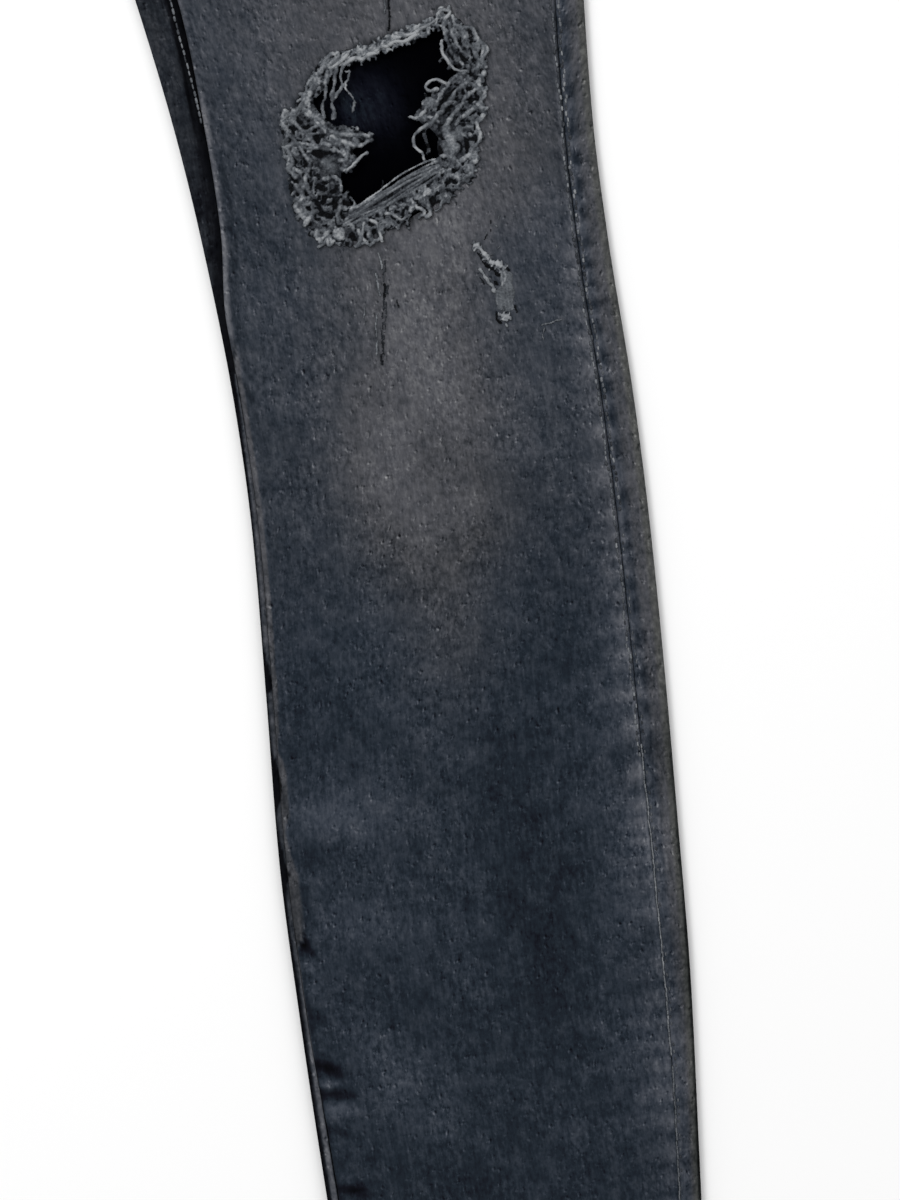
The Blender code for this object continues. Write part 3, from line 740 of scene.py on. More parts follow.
def denim(name, specular=0.05, sheen=0.03, underside=0.0):
    """Washed denim. underside is the least tone of its lowest face, where that has to be lighter than the
    painted shade on its upper face.
    """
    graph = Graph(name)
    place = graph.node("UVMap", "UV", {"uv_map": "Cloth"})
    salt = graph.grain(place, *SALT)
    fine = graph.grain(place, 0.0011, 0.0018, shift=3.1)
    streak = graph.grain(place, 0.0016, 0.020, shift=7.7)
    blotch = graph.grain(place, 0.007, 0.010, detail=3.0, shift=5.3)
    patch = graph.scaled(graph.grain(place, 0.022, 0.030, detail=1.0, shift=23.0), -1, 1, 0.70, 1.35)
    fleck = graph.scaled(graph.grain(place, *SALT, shift=11.0), *FLECKS)
    # painted shadow: the flecks' noise moved aside, which darkens the cloth beside each fleck
    pit = graph.scaled(graph.grain(place, *SALT, shift=11.0, aside=FLECK_SHADOW_ASIDE), *FLECKS)
    fibre_and_shadow = graph.sum(
        graph.times(salt, 0.105), graph.times(fine, 0.032), graph.times(fleck, 0.55), graph.times(pit, -0.45)
    )
    base = graph.attribute("tone")
    if underside:
        spot = graph.node("TexCoord", "Object")
        height = graph.node("SeparateXYZ", "Z", Vector=spot)
        base = graph.math("MAXIMUM", base, graph.scaled(height, 0.3 * MM, 0.9 * MM, underside, 0.0))
    shown = graph.scaled(base, 0.0, 0.30, 0.0, 1.0)
    fibre_and_shadow = graph.times(graph.times(fibre_and_shadow, patch), graph.scaled(base, 0.40, 0.62, 0.62, 1.0))
    clouds = graph.sum(fibre_and_shadow, graph.times(streak, 0.040), graph.times(blotch, 0.075))
    tone = graph.math("DIVIDE", graph.math("ADD", base, graph.times(clouds, shown)), FULL)
    tint = graph.math("ADD", graph.attribute("tint"), graph.times(blotch, 0.10))
    colour = graph.toned(tone, NAVY)
    for low, stops in ((0, NEUTRAL), (1, WARM)):
        colour = graph.mix(graph.scaled(tint, low, low + 1, 0, 1), colour, graph.toned(tone, stops))
    graph.surface(Base_Color=colour, Roughness=0.92, Specular_IOR_Level=specular)
    graph.surface(Sheen_Weight=sheen, Sheen_Roughness=0.5)
    graph.bump(graph.sum(salt, fleck, graph.times(twill(graph, place), 0.5)), 0.28, 0.0003)
    return graph.material


def twill(graph, place):
    """The height of the diagonal ribs of the weave."""
    bands = {"wave_type": "BANDS", "bands_direction": "DIAGONAL"}
    return graph.node("TexWave", "Fac", bands, Vector=place, Scale=190.0, Distortion=0.6, Detail=1.0)


def thread(name):
    """Cotton yarn."""
    graph = Graph(name)
    fuzz = graph.grain(graph.node("TexCoord", "Object"), 0.0009, 0.0009)
    tone = graph.sum(graph.attribute("tone"), graph.times(fuzz, 0.12))
    colour = graph.toned(graph.math("DIVIDE", tone, FULL), YARN)
    graph.surface(Base_Color=colour, Roughness=0.9, Specular_IOR_Level=0.1)
    graph.bump(fuzz, 0.3, 0.0002)
    return graph.material


def metal(name, grey):
    """Worn metal, warm where it is dark."""
    graph = Graph(name)
    wear = graph.grain(graph.node("TexCoord", "Object"), 0.0015, 0.0015)
    dark, light = (grey * 0.6, grey * 0.57, grey * 0.52, 1), (grey, grey * 0.96, grey * 0.9, 1)
    colour = graph.mix(graph.scaled(wear, -1, 1, 0, 1), dark, light)
    graph.surface(Base_Color=colour, Roughness=graph.scaled(wear, -1, 1, 0.30, 0.48), Metallic=1.0)
    graph.bump(wear, 0.1, 0.0001)
    return graph.material


# ---------------------------------------------------------------- the panels

EDGE_STEPS = np.array([0.0, 0.3, 0.7, 1.2, 1.9, 2.8, 4.0, 5.6, 7.6]) * MM
LAP_STEPS = np.array([-9.0, -8.6, -7.8, -6.0, -3.0]) * MM
SEAT_ROWS = 26
COARSE_ROW, FINE_ROW = 0.006, 0.0022
SEEN_FROM, SEEN_TO = 0.099, 0.694  # the part of a leg that is seen near to


def leg_downs(fine):
    """The rows of a leg below the fly: close together where the leg is seen near to."""
    end = HEM_DOWN - HEM_HEIGHT - HALF_GAP
    if not fine:
        return np.append(np.arange(FLY_END_DOWN, end - COARSE_ROW / 2, COARSE_ROW), end)
    upper = np.arange(FLY_END_DOWN, SEEN_FROM - 0.001, COARSE_ROW)
    seen = np.arange(SEEN_FROM, SEEN_TO, FINE_ROW)
    lower = np.arange(SEEN_TO + 0.004, end - COARSE_ROW / 2, COARSE_ROW)
    return np.concatenate([upper, seen, lower, [end]])


def scoop_depth(across):
    """How far the front pocket's opening cuts down into the front."""
    into = (across - outseam_across(WAIST_SEAM_DOWN) + SCOOP_WIDTH) / SCOOP_WIDTH
    return SCOOP_DEPTH * np.sqrt(np.clip(1 - (1 - np.clip(into, 0, 1)) ** 2, 0, 1))


def front_across(down, share):
    """Across a front: fixed steps beside both seams, and shares of what lies between them."""
    n = len(EDGE_STEPS) - 1
    low = inseam_across(down) + HALF_GAP
    high = outseam_across(down) - HALF_GAP
    inner = low[n:-n] + EDGE_STEPS[-1] + share * (high[n:-n] - low[n:-n] - 2 * EDGE_STEPS[-1])
    return np.concatenate([low[:n] + EDGE_STEPS[:-1], inner, high[-n:] - EDGE_STEPS[-2::-1]])


def front_grid(fine):
    """down and across for every point of a front, and how many rows lie above the end of the fly."""
    middle = 76 if fine else 46
    share = np.linspace(0, 1, middle + 1)
    seam = outseam_across(WAIST_SEAM_DOWN)
    start = (seam - SCOOP_WIDTH - EDGE_STEPS[-1] - HALF_GAP) / (seam - 2 * EDGE_STEPS[-1] - 2 * HALF_GAP)
    straight = round(middle * 0.55)
    arc = 1 - (1 - start) * np.cos(np.linspace(0, np.pi / 2, middle - straight + 1))
    top_share = np.concatenate([np.linspace(0, start, straight + 1), arc[1:]])
    columns = middle + 1 + 2 * (len(EDGE_STEPS) - 1)
    at_top = front_across(np.full(columns, WAIST_SEAM_DOWN), top_share)
    top = front_waist_down(at_top) + HALF_GAP + scoop_depth(at_top)
    steps = 26 if fine else 22
    down, across = [], []
    for t in np.arange(steps) / steps:
        down.append(top + (FLY_END_DOWN - top) * t)
        across.append(front_across(down[-1], top_share * (1 - smooth(t)) + share * smooth(t)))
    for level in leg_downs(fine):
        down.append(np.full(columns, level))
        across.append(front_across(down[-1], share))
    return np.array(down), np.array(across), steps


def lap_raise(down, x):
    """How far the left front's lap over the fly is raised."""
    return LAP_RISE * ease(down, FLY_END_DOWN + 0.015, -0.015) * (1 - ease(x, HALF_GAP, LAP_RAMP))


# How far the cut cloth is from the middle of the rip, by bearing in degrees
RIP_CUT = (
    (0, 0.038), (30, 0.044), (60, 0.0545), (75, 0.0465), (90, 0.04), (105, 0.037), (120, 0.0368),
    (150, 0.04), (180, 0.043), (210, 0.046), (240, 0.054), (270, 0.0475), (300, 0.042), (330, 0.04),
    (360, 0.038),
)


def rip_reach(bearing):
    """How far the cut edge of the cloth is from the middle of the rip, with its ragged nicks."""
    bearing = np.mod(bearing, 2 * np.pi)
    reach = np.interp(np.degrees(bearing), *np.transpose(RIP_CUT))
    return reach + 0.0010 * wobble(bearing * 0.04, 0.0, 0.0025, 31)


def cut_rip(grid, keep):
    """Takes the rip out of a front's grid, and draws the cells round it on to its edge."""
    bearing, far = about_rip(grid[..., 0], grid[..., 1])
    reach = rip_reach(bearing)
    inside = far < reach
    hole = inside[:-1, :-1] | inside[:-1, 1:] | inside[1:, :-1] | inside[1:, 1:]
    touched = np.zeros(inside.shape, bool)
    for rows in (slice(None, -1), slice(1, None)):
        for columns in (slice(None, -1), slice(1, None)):
            touched[rows, columns] |= hole
    rim = touched & ~inside
    grid[..., 0] = np.where(rim, KNEE_X + reach * np.cos(bearing), grid[..., 0])
    grid[..., 1] = np.where(rim, KNEE_Y + reach * np.sin(bearing), grid[..., 1])
    return keep & ~hole


def make_front(side, material):
    left = side == "left"
    seed = SEEDS[side]
    down, across, top_rows = front_grid(left)
    x, y = plan(down, across)
    z = front_height(down, across) + front_relief(down, across, seed)
    tone, tint = front_wear_and_shade(down, across, seed)
    tone, ridge = ridge_wear_and_shade(down, across, tone)
    tint = np.maximum(tint, ridge)
    keep = np.ones((down.shape[0] - 1, down.shape[1] - 1), bool)
    if left:
        z += lap_raise(down, x)
        lap = np.broadcast_to(LAP_STEPS, (len(down), len(LAP_STEPS)))
        y, z, tone, tint, down = (
            np.concatenate([np.broadcast_to(part[:, :1], lap.shape), part], axis=1)
            for part in (y, z, tone, tint, down)
        )
        x, across = (np.concatenate([lap, part], axis=1) for part in (x, across))
        keep = np.concatenate([np.zeros((len(keep), len(LAP_STEPS)), bool), keep], axis=1)
        keep[:top_rows, : len(LAP_STEPS)] = True
    grid = points(x, y, z)
    if left:
        keep = cut_rip(grid, keep)
        bearing, far = about_rip(grid[..., 0], grid[..., 1])
        # painted shade on the cloth round the rip's cut edge, under the felted threads
        tone = tone - 0.25 * hill(far - rip_reach(bearing), 0.0025)
    grain = np.stack([across, down], axis=-1)
    return cloth(f"front_{side}_cloth", grid, grain, tone, tint, material, keep, mirrored=not left)


def fold_points(down, turn, outer, thickness=CLOTH):
    """across and height on a leg's round fold: turn is 0 at the floor and 1 on top."""
    angle = np.pi * turn
    inset = thickness / 2 + FOLD_RADIUS * (1 - np.sin(angle))
    across = width(down) - inset if outer else inset + 0 * down
    return across, back_height(down) + FOLD_RADIUS * (1 - np.cos(angle))


def back_sections(down, fine):
    """across and height of every point of a back, by rows of the leg, and how many points its parts have.

    The parts are the strip turned in beside the inseam, its fold, the floor, the outer fold and the strip
    beside the outseam.
    """
    strip, folds, outer_strip = (16, 9, 22) if fine else (8, 6, 10)
    floor = 14
    edge = CLOTH / 2 + FOLD_RADIUS
    down = np.asarray(down, float)[:, None]
    first = np.where(down > 0, edge, HALF_GAP + CLOTH * smooth(1 + down / FORK_LEVEL))
    last = width(down) - edge
    start = np.maximum(inseam_across(down) - HALF_GAP, HALF_GAP)
    inner = start + (first - start) * np.linspace(0, 1, strip)
    turns = np.linspace(1, 0, folds + 1)[None, 1:]
    fold_across, fold_z = fold_points(down, turns, False)
    fold_across = np.where(down > 0, fold_across, first)
    above_fork = np.where(turns > 0, front_height(down, first), back_height(down))
    fold_z = np.where(down > 0, fold_z, above_fork)
    middle = first + (last - first) * np.linspace(0, 1, floor + 1)[1:-1]
    seam = outseam_across(down) + HALF_GAP
    outer = last + (seam - last) * (1 - (1 - np.linspace(0, 1, outer_strip + 1)[1:]) ** 1.35)
    parts = (
        (inner, front_height(down, inner)),
        (fold_across, fold_z),
        (middle, back_height(down) + 0 * middle),
        fold_points(down, np.linspace(0, 1, folds + 1)[None], True),
        (outer, front_height(down, outer)),
    )
    across, z = (np.concatenate(part, axis=1) for part in zip(*parts))
    return across, z, (strip, folds, floor - 1, folds + 1, outer_strip)


def rows_between(top, bottom, shares, fine):
    """down, across and height of rows of a back that pass from one line across it to another."""
    down = np.array([top + (bottom - top) * share for share in shares])
    sections = [back_sections(row, fine)[:2] for row in down]
    across, z = (np.array([np.diagonal(part[:, -len(top) :]) for part in parts]) for parts in zip(*sections))
    return down, across, z


def along_cloth(across, z):
    steps = np.hypot(np.diff(across, axis=1), np.diff(z, axis=1))
    return np.concatenate([np.zeros((len(across), 1)), np.cumsum(steps, axis=1)], axis=1)


def make_back(side, material):
    left = side == "left"
    seed = SEEDS[side]
    downs = leg_downs(left)
    downs = downs[downs > CROTCH_DOWN + 0.001]
    downs = np.concatenate([[CROTCH_DOWN + 0.0008], downs[downs < -0.001], [0.0], downs[downs > 0.003]])
    across, z, (strip, folds, floor, outer_folds, outer_strip) = back_sections(downs, left)
    down = np.broadcast_to(downs[:, None], across.shape)
    # the seat, from the yoke seam to where the inseam begins, has no inner strip: those columns are spare
    spare = strip + folds - 1
    seam_x = back_sections([WAIST_SEAM_DOWN], left)[0][0, spare:]
    seam_down = np.where(np.arange(len(seam_x)) < floor + 1, yoke_down(seam_x), yoke_down(OUTLINE[1].outer))
    seat = rows_between(seam_down + HALF_GAP, downs[0], np.arange(SEAT_ROWS) / SEAT_ROWS, left)
    down, across, z = (
        np.concatenate([np.concatenate([np.repeat(upper[:, :1], spare, axis=1), upper], axis=1), lower])
        for upper, lower in zip(seat, (down, across, z))
    )
    column = np.arange(across.shape[1])[None]
    on_strip = column < strip
    on_inner = column < strip + folds // 2 + 1
    on_outer = column >= across.shape[1] - outer_strip - outer_folds // 2
    to_seam = across - outseam_across(down)
    to_in = inseam_across(down) - across
    z = z + strip_relief(down, to_seam, seed) * on_outer
    z -= 0.0006 * hill(to_in, 0.0012) * on_strip * ease(down, 0.29, 0.03)
    # the inner strip, in the shadow of the front high up, with the dark lines of its sewing
    lower = ease(down, 0.16, 0.05)
    covered = ease(-to_in, -0.0085, 0.0075) * ease(down, 0.02, 0.05)
    inner_tone = 0.43 - 0.36 * (1 - 0.5 * lower) * covered - 0.11 * lower
    inner_tone += 0.04 * wobble(across, down, 0.01, seed + 9)
    sewn = ease(down, 0.180, -0.02) * smooth(down / 0.02)
    inner_tone -= 0.30 * sewn * (hill(to_in - 0.0050, 0.0009) + hill(to_in - 0.0014, 0.0009))
    inner_tone, _ = ridge_wear_and_shade(down, across, np.clip(inner_tone, 0.06, 1))
    outer_tone, outer_tint = strip_wear_and_shade(down, to_seam, seed)
    tone = np.where(on_outer, outer_tone, 0.45 + 0.04 * wobble(across, down, 0.04, seed))
    tone = np.where(on_inner, inner_tone, tone)
    tint = np.where(on_outer, outer_tint, np.where(on_inner, 0.75, 0.1))
    x, y = plan(down, across)
    if left:
        on_floor = (column >= strip + folds) & (column < across.shape[1] - outer_strip - outer_folds)
        far = about_rip(x, y)[1]
        # painted shade: round the rip the back's floor is painted near black, with a dim patch of painted
        # light up and left of the rip's middle
        seen = 0.32 * hill(np.hypot(x - KNEE_X + 0.013, y - KNEE_Y - 0.010), 0.014)
        tone = np.where(on_floor, tone + (seen - tone) * ease(far, 0.10, -0.03), tone)
    keep = np.ones((across.shape[0] - 1, across.shape[1] - 1), bool)
    rows = np.arange(len(keep))[:, None]
    cells = np.arange(keep.shape[1])[None]
    fork = SEAT_ROWS + int(np.searchsorted(downs, 0.0))
    keep &= ~((rows < SEAT_ROWS) & (cells < spare))
    keep &= ~((rows >= SEAT_ROWS) & (rows < fork) & (cells >= strip - 1) & (cells < spare))
    grid = points(x, y, z)
    grain = np.stack([along_cloth(across, z), down], axis=-1)
    return cloth(f"back_{side}_cloth", grid, grain, tone, tint, material, keep, mirrored=not left)


# ---------------------------------------------------------------- the rip's threads

# In millimetres right of and above the middle of the rip: the open hole, and where the loose threads end
OPENING = (
    (-20, 27.5), (-14, 30.8), (-9, 31.8), (-3, 34.3), (4, 37.3), (11, 39.5), (18, 44), (23.6, 48),
    (25, 44), (26.8, 38), (27.5, 33), (30.5, 28), (32.3, 25.4), (29, 22), (26, 20), (22, 16.5),
    (19, 13.5), (16.5, 9.5), (12, 4.2), (15.5, -0.8), (19.5, -2.5), (22.5, -6), (22, -11), (23, -15),
    (20.5, -18), (17, -18.8), (5, -26), (-4, -31.5), (-13.3, -37.1), (-16.3, -37.5), (-17.5, -34),
    (-20.5, -32), (-20.8, -27.5), (-21, -23), (-18, -21.6), (-15, -19), (-17, -16), (-15.5, -12.5),
    (-12.5, -10), (-7, -8.6), (-6, -4.6), (-13, -3.2), (-18, -3.6), (-22, -1.5), (-25.2, 1.3),
    (-28.5, 3), (-31, 5), (-34, 6.5), (-34.2, 12), (-31, 15), (-28, 15.5), (-27.3, 23), (-24, 26.5),
)
FRAY = (
    (-50.3, 2.4), (-49.4, -13.1), (-43.3, -43.2), (-33.9, -55.4), (-12.2, -57), (4, -47),
    (27.2, -37.1), (40.9, -25.3), (46.5, 7.1), (45.6, 37.2), (28, 54), (12, 47), (-6, 41),
    (-30.1, 32.5), (-39.5, 17),
)

# Threads placed one by one, in millimetres as above
STRANDS = strands(
    # hanging from the upper left edge
    (1.12, 0.6, 5, (-28.8, 27), (-29, 20), (-30, 14), (-30.5, 9), (-30.3, 4)),
    (1.18, 0.6, 5.2, (-24.8, 27.5), (-25, 20), (-26.3, 15), (-25.8, 10), (-25.5, 4), (-26.6, 2)),
    (1.12, 0.55, 5.1, (-21.5, 27.5), (-21.8, 22), (-21.2, 17.5), (-23.5, 15.5), (-24.8, 13)),
    (1.1, 0.45, 5, (-27.3, 26.5), (-27.4, 22.5), (-28.6, 19.5)),
    (1.3, 0.42, 5.1, (-20.3, 25.5), (-18.8, 24.5), (-19.6, 21), (-20, 17.5), (-18.3, 15.3),
     (-16.2, 13.5), (-15.5, 10.5), (-16.5, 8), (-17, 5.5)),
    # the felted upper edge
    (1.35, 0.6, 5, (-30.5, 26), (-28, 28.5), (-25, 31), (-24, 33)),
    (1.5, 0.6, 5.1, (-30, 30), (-28, 32.5), (-25.5, 33.5), (-23.5, 33)),
    (1.6, 0.6, 5, (-27, 27), (-24, 28.5), (-21, 30.5), (-19, 33)),
    (1.7, 0.65, 5, (-21, 28), (-18, 30), (-15, 31.5), (-12, 31), (-9, 33), (-5, 34)),
    (1.4, 0.6, 4.9, (-17, 33.5), (-14, 35), (-11, 34.5), (-8, 37)),
    (1.55, 0.55, 5, (-6, 34.5), (-3, 36), (0.5, 37)),
    (1.7, 0.6, 4.9, (1, 38), (4, 39), (8, 39.5), (11, 41), (14, 42.5)),
    (1.5, 0.55, 5, (3.5, 44.5), (4.5, 42), (8, 41.8), (12, 43), (15, 44.5)),
    (1.65, 0.6, 5, (13, 43.5), (16, 45.3), (19, 47), (22.5, 49)),
    (1.35, 0.5, 5, (18.3, 45.5), (19, 43)),
    (1.25, 0.6, 4.9, (-1, 42), (1.2, 41.5), (1, 39)),
    (1.3, 0.6, 4.9, (9, 45.5), (12, 46.5), (15, 46), (18, 48.5)),
    # the left rim and the tongue
    (1.3, 0.65, 5.2, (-27.9, 30.6), (-32, 23.6), (-36.1, 17.7), (-39.1, 11.8), (-42.6, 7.1), (-48, 3.6)),
    (1.25, 0.65, 5.4, (-33.2, 20), (-37.6, 13), (-36.7, 8.3), (-32, 2.4), (-26.1, -2.9), (-9.1, -5)),
    (1.35, 0.6, 5.5, (-37.9, 7.1), (-33.2, 0.1), (-26.1, -5.2), (-20.3, -8.2), (-14.4, -9.8),
     (-7.3, -7.4)),
    (1.2, 0.6, 5.2, (-48.5, -10.5), (-41.4, -8.2), (-32, -10.5), (-23.8, -12.9), (-19.1, -11.7)),
    (1.5, 0.5, 5.5, (-20.3, -22.3), (-16.7, -19.3), (-13.2, -15.2), (-10.1, -13.1)),
    (1.15, 0.6, 5.3, (-37.5, -11.5), (-34, -10.3), (-30.5, -9.2), (-26, -9.4), (-22.8, -9.3),
     (-20.4, -14)),
    (1.05, 0.55, 5.2, (-39, -4.5), (-35, -3.9), (-31.6, -5.6), (-31.4, -8.5)),
    (1.1, 0.55, 5.2, (-39.5, -7.2), (-36.5, -6.6), (-34.8, -9.5)),
    (1.2, 0.6, 5.4, (-20.5, -9), (-18.3, -12.5), (-19.5, -16.5), (-22.8, -17.6)),
    (1.25, 0.55, 5.3, (-22.3, -21.6), (-19.2, -21.4), (-15.9, -20.2), (-16.5, -18.6), (-20.3, -18.8)),
    (1.12, 0.55, 5.2, (-31, -25.5), (-28, -26), (-25.5, -25), (-23, -27), (-22, -31)),
    (1.08, 0.6, 5.3, (-27, -35.5), (-24.2, -34.3), (-22.4, -37), (-24, -40.2), (-27, -39.4), (-28, -37)),
    (1.08, 0.55, 5.2, (-22.4, -37), (-20.5, -40), (-17.5, -39.5), (-15.3, -37.3), (-18, -33.5),
     (-20.5, -34)),
    (1.1, 0.55, 5.2, (-23, -46), (-24, -42.5), (-23, -39.5)),
    (1.3, 0.75, 5.3, (-48.6, 5.6), (-49.5, 0.5), (-46.8, -3.5), (-48.4, -8.7)),
    (1.25, 0.7, 5.2, (-47.8, -11), (-44.6, -16.1), (-46.3, -21.1), (-43.4, -24.5)),
    (1.3, 0.7, 5.3, (-44, -28.5), (-40.6, -33.7), (-42.8, -39.4), (-37.5, -43), (-38.5, -47)),
    (1.05, 0.55, 5.2, (-34.5, -24.5), (-35.5, -28), (-34.5, -31.5), (-31.5, -33.5), (-28.5, -31.5),
     (-28, -28)),
    (1.15, 0.6, 5.2, (-41, -27), (-40.3, -33), (-38.4, -35.8), (-35.3, -37), (-35, -41), (-37.5, -42.6)),
    (1.15, 0.55, 5.2, (-46, 5), (-43, -1), (-38, -3), (-34, -1), (-31, 4)),
    (1.15, 0.55, 5.2, (-45, -6), (-40, -13), (-37, -19), (-39, -26), (-37, -32)),
    # curls along the lower edge
    (1.35, 0.6, 5.3, (-33.2, -49), (-34.2, -51.6), (-32.4, -53.6), (-29.4, -52.2), (-26.6, -47.6)),
    (1.45, 0.55, 5.2, (-33, -57), (-30.5, -56), (-29, -53.4), (-27.6, -56.4), (-25.6, -54.4)),
    (1.35, 0.6, 5.2, (-26, -51.5), (-24, -53.2), (-21.6, -52.6), (-22.2, -50), (-24.6, -49)),
    (1, 0.6, 5.1, (-34.3, -45), (-31.8, -47.5), (-28.6, -46.2), (-26.4, -44)),
    (1.25, 0.6, 5.4, (-13.6, -49), (-12.6, -53.5), (-14.2, -57), (-11, -55.5), (-8.6, -57), (-6.4, -55.3)),
    (1.25, 0.6, 5.3, (-10.2, -47.5), (-9.2, -51), (-7.4, -54.6), (-3.6, -53.2), (-3.2, -49.5)),
    (1.45, 0.5, 5.3, (-11.5, -46.5), (-11, -50.5), (-12.8, -53), (-10.5, -54.6)),
    (1.45, 0.5, 5.3, (-8.5, -44.6), (-5.6, -47.5), (-3.8, -51.7), (-2, -54.5)),
    (1.45, 0.5, 5.3, (-0.3, -41.1), (3.3, -43.4), (6.8, -44.6), (10.3, -42.3)),
    (1.25, 0.5, 5.1, (-3.8, -45.8), (0.9, -45.8), (3.6, -49)),
    (1.35, 0.5, 5.2, (10.3, -35.2), (13.8, -38.7), (17.4, -41.1), (15, -43.4)),
    (1.05, 0.6, 5.2, (25.8, -17.5), (24.6, -23), (22, -28.5), (19, -31.5), (14.5, -35.5), (11, -40.5)),
    (1, 0.6, 5.3, (27.8, -17.5), (26.8, -23), (26, -28), (27.6, -33.5), (28, -36.5)),
    (1.05, 0.6, 5.2, (31, -15.5), (29, -19.5), (27.4, -24)),
    (1.25, 0.6, 5.2, (16.5, -33.8), (18.5, -37.4), (20, -41.5), (17.8, -43.4)),
    (1.05, 0.55, 5.2, (23.2, -30.5), (24.4, -34), (24.6, -38), (22.6, -41)),
    (1, 0.6, 5.2, (9.8, -40.5), (9.4, -44), (10, -48.5)),
    (1, 0.55, 5.2, (4.2, -42), (4.8, -45), (4.2, -49)),
    (1.3, 0.6, 5.3, (30.5, -23.6), (33.2, -25.2), (36.6, -24.6), (39.2, -21.8), (38.4, -18),
     (41.4, -14.6)),
    (0.7, 0.6, 4.3, (17, -1.5), (17.3, -6), (18.6, -11), (18, -13.5)),
    # the right side
    (1.1, 0.55, 5, (25.6, 47.6), (26.8, 41.2), (30.3, 33.5), (35, 28.3)),
    (1.15, 0.55, 5.2, (27.9, 48.2), (30.9, 41.2), (34.4, 35.3), (38.5, 31.8)),
    (1.2, 0.6, 5.3, (30.9, 47.6), (35, 42.4), (38.5, 37.1), (42, 31.8), (41.4, 24.7)),
    (1.45, 0.5, 5.4, (25.8, 39.4), (24.9, 37.1), (25.9, 32.4), (28.5, 28.3), (32, 25.9), (37.3, 25.3)),
    (1.3, 0.65, 5.2, (29.7, 50.5), (34, 46.3), (39.6, 45.2), (41.4, 40.9)),
    (1.35, 0.65, 5.2, (42.6, 39.4), (46.2, 35.5), (43.6, 30.6), (46.4, 27.1)),
    (1.25, 0.65, 5.2, (44.8, 24.2), (42, 19.6), (45.4, 14.2), (42.6, 9)),
    (1.5, 0.6, 5.5, (23.2, 51.9), (25.6, 54.2), (28.5, 53), (26.8, 49.5)),
    (1.6, 0.5, 5.6, (26.8, 19.4), (22.6, 21), (19.1, 20), (17.6, 17.7), (19.7, 15.6), (23, 16.7)),
    (1.15, 0.6, 5.3, (17.4, 8.3), (22.1, 11.8), (26.8, 17.7), (31.5, 22.4), (36.2, 24.7)),
    (1.2, 0.6, 5.4, (19.7, 0.1), (24.4, 5.9), (29.1, 11.8), (33.8, 17.7), (38.5, 21.2)),
    (1.2, 0.6, 5.3, (25.6, -2.3), (29.1, 3.6), (33.8, 8.3), (37.3, 14.2), (42, 16.5)),
    (1.2, 0.6, 5.3, (31.5, 0.1), (36.2, 4.8), (40.9, 8.3), (45.5, 7.7)),
    (1.5, 0.55, 5.2, (10.3, 3.9), (13.8, 4.2), (17.4, 7.1), (20.9, 10.6)),
    (1.3, 0.5, 5.1, (12.7, 2.4), (16.2, 3), (19.7, 3.6), (24, 2)),
    (1.5, 0.5, 4.9, (19.7, 0.6), (15.6, -1.7), (12.4, -5.8), (13.2, -10.5), (15.6, -14), (17.9, -17.3)),
    (1.4, 0.65, 5.3, (44.4, 4.8), (42, 0.1), (43.4, -4.7), (40.9, -9.4), (38.5, -14.1), (34, -17)),
    (1.15, 0.55, 5.2, (22, -18), (26, -14), (31, -16), (35, -21), (31, -24)),
)

# Where short threads lie close together: the middle, the reach, which way they run and how far either side
# in degrees, their length, how much they curl, how many there are and their tone
TANGLES = table(
    Tangle,
    (-41, 2, 9, 10, -40, 60, 7, 0.4, 30, 1), (-40, -14, 10, 12, 0, 180, 5, 0.55, 60, 0.95),
    (-32, -36, 11, 11, 0, 180, 5, 0.6, 70, 0.9), (-27, -50, 11, 7, -40, 90, 5, 0.6, 46, 1.05),
    (-38, 20, 6, 11, -120, 35, 6, 0.4, 30, 1.05), (-47, -4, 3, 14, -90, 60, 4, 0.6, 26, 1.05),
    (-43, -32, 3, 12, -80, 60, 4, 0.6, 22, 1.05), (-24, -5, 8, 3.5, -10, 25, 8, 0.25, 16, 0.95),
    (33, 37, 6, 10, -60, 25, 8, 0.3, 24, 0.92), (42, 28, 5, 17, -80, 50, 5, 0.5, 60, 1),
    (34, 47, 9, 4, -30, 50, 5, 0.5, 26, 1.05), (35, 13, 9, 10, 50, 35, 7, 0.35, 40, 0.95),
    (39, -8, 6, 12, 70, 60, 5, 0.5, 40, 0.98), (22, 8, 5, 5, 30, 60, 4, 0.5, 14, 0.95),
    (32, -22, 9, 5, 30, 50, 5, 0.5, 34, 1), (20, -32, 9, 4, -60, 60, 5, 0.55, 34, 0.92),
    (-2, -44, 11, 4, -60, 60, 5, 0.55, 34, 0.92),
)

# Lines of short fuzz: tone, reach either side, how many threads, their length, and the points of the line
FRINGES = table(
    Fringe,
    (1.22, 2.4, 360, 3.2, (
        (-31, 27.5), (-25, 30), (-20, 31), (-15, 33), (-10, 33.6), (-5, 35.6), (0, 38.4), (5, 40.6), (10, 42),
        (15, 44.6), (20, 47.4), (25, 51.5),
    )),
    (1.05, 2.4, 110, 3, ((-38, 19), (-34, 24), (-30, 28))),
    (1, 3, 130, 4, ((-16, -48), (-2, -43.5), (8, -37.5), (17, -32), (28, -28), (36, -22))),
)

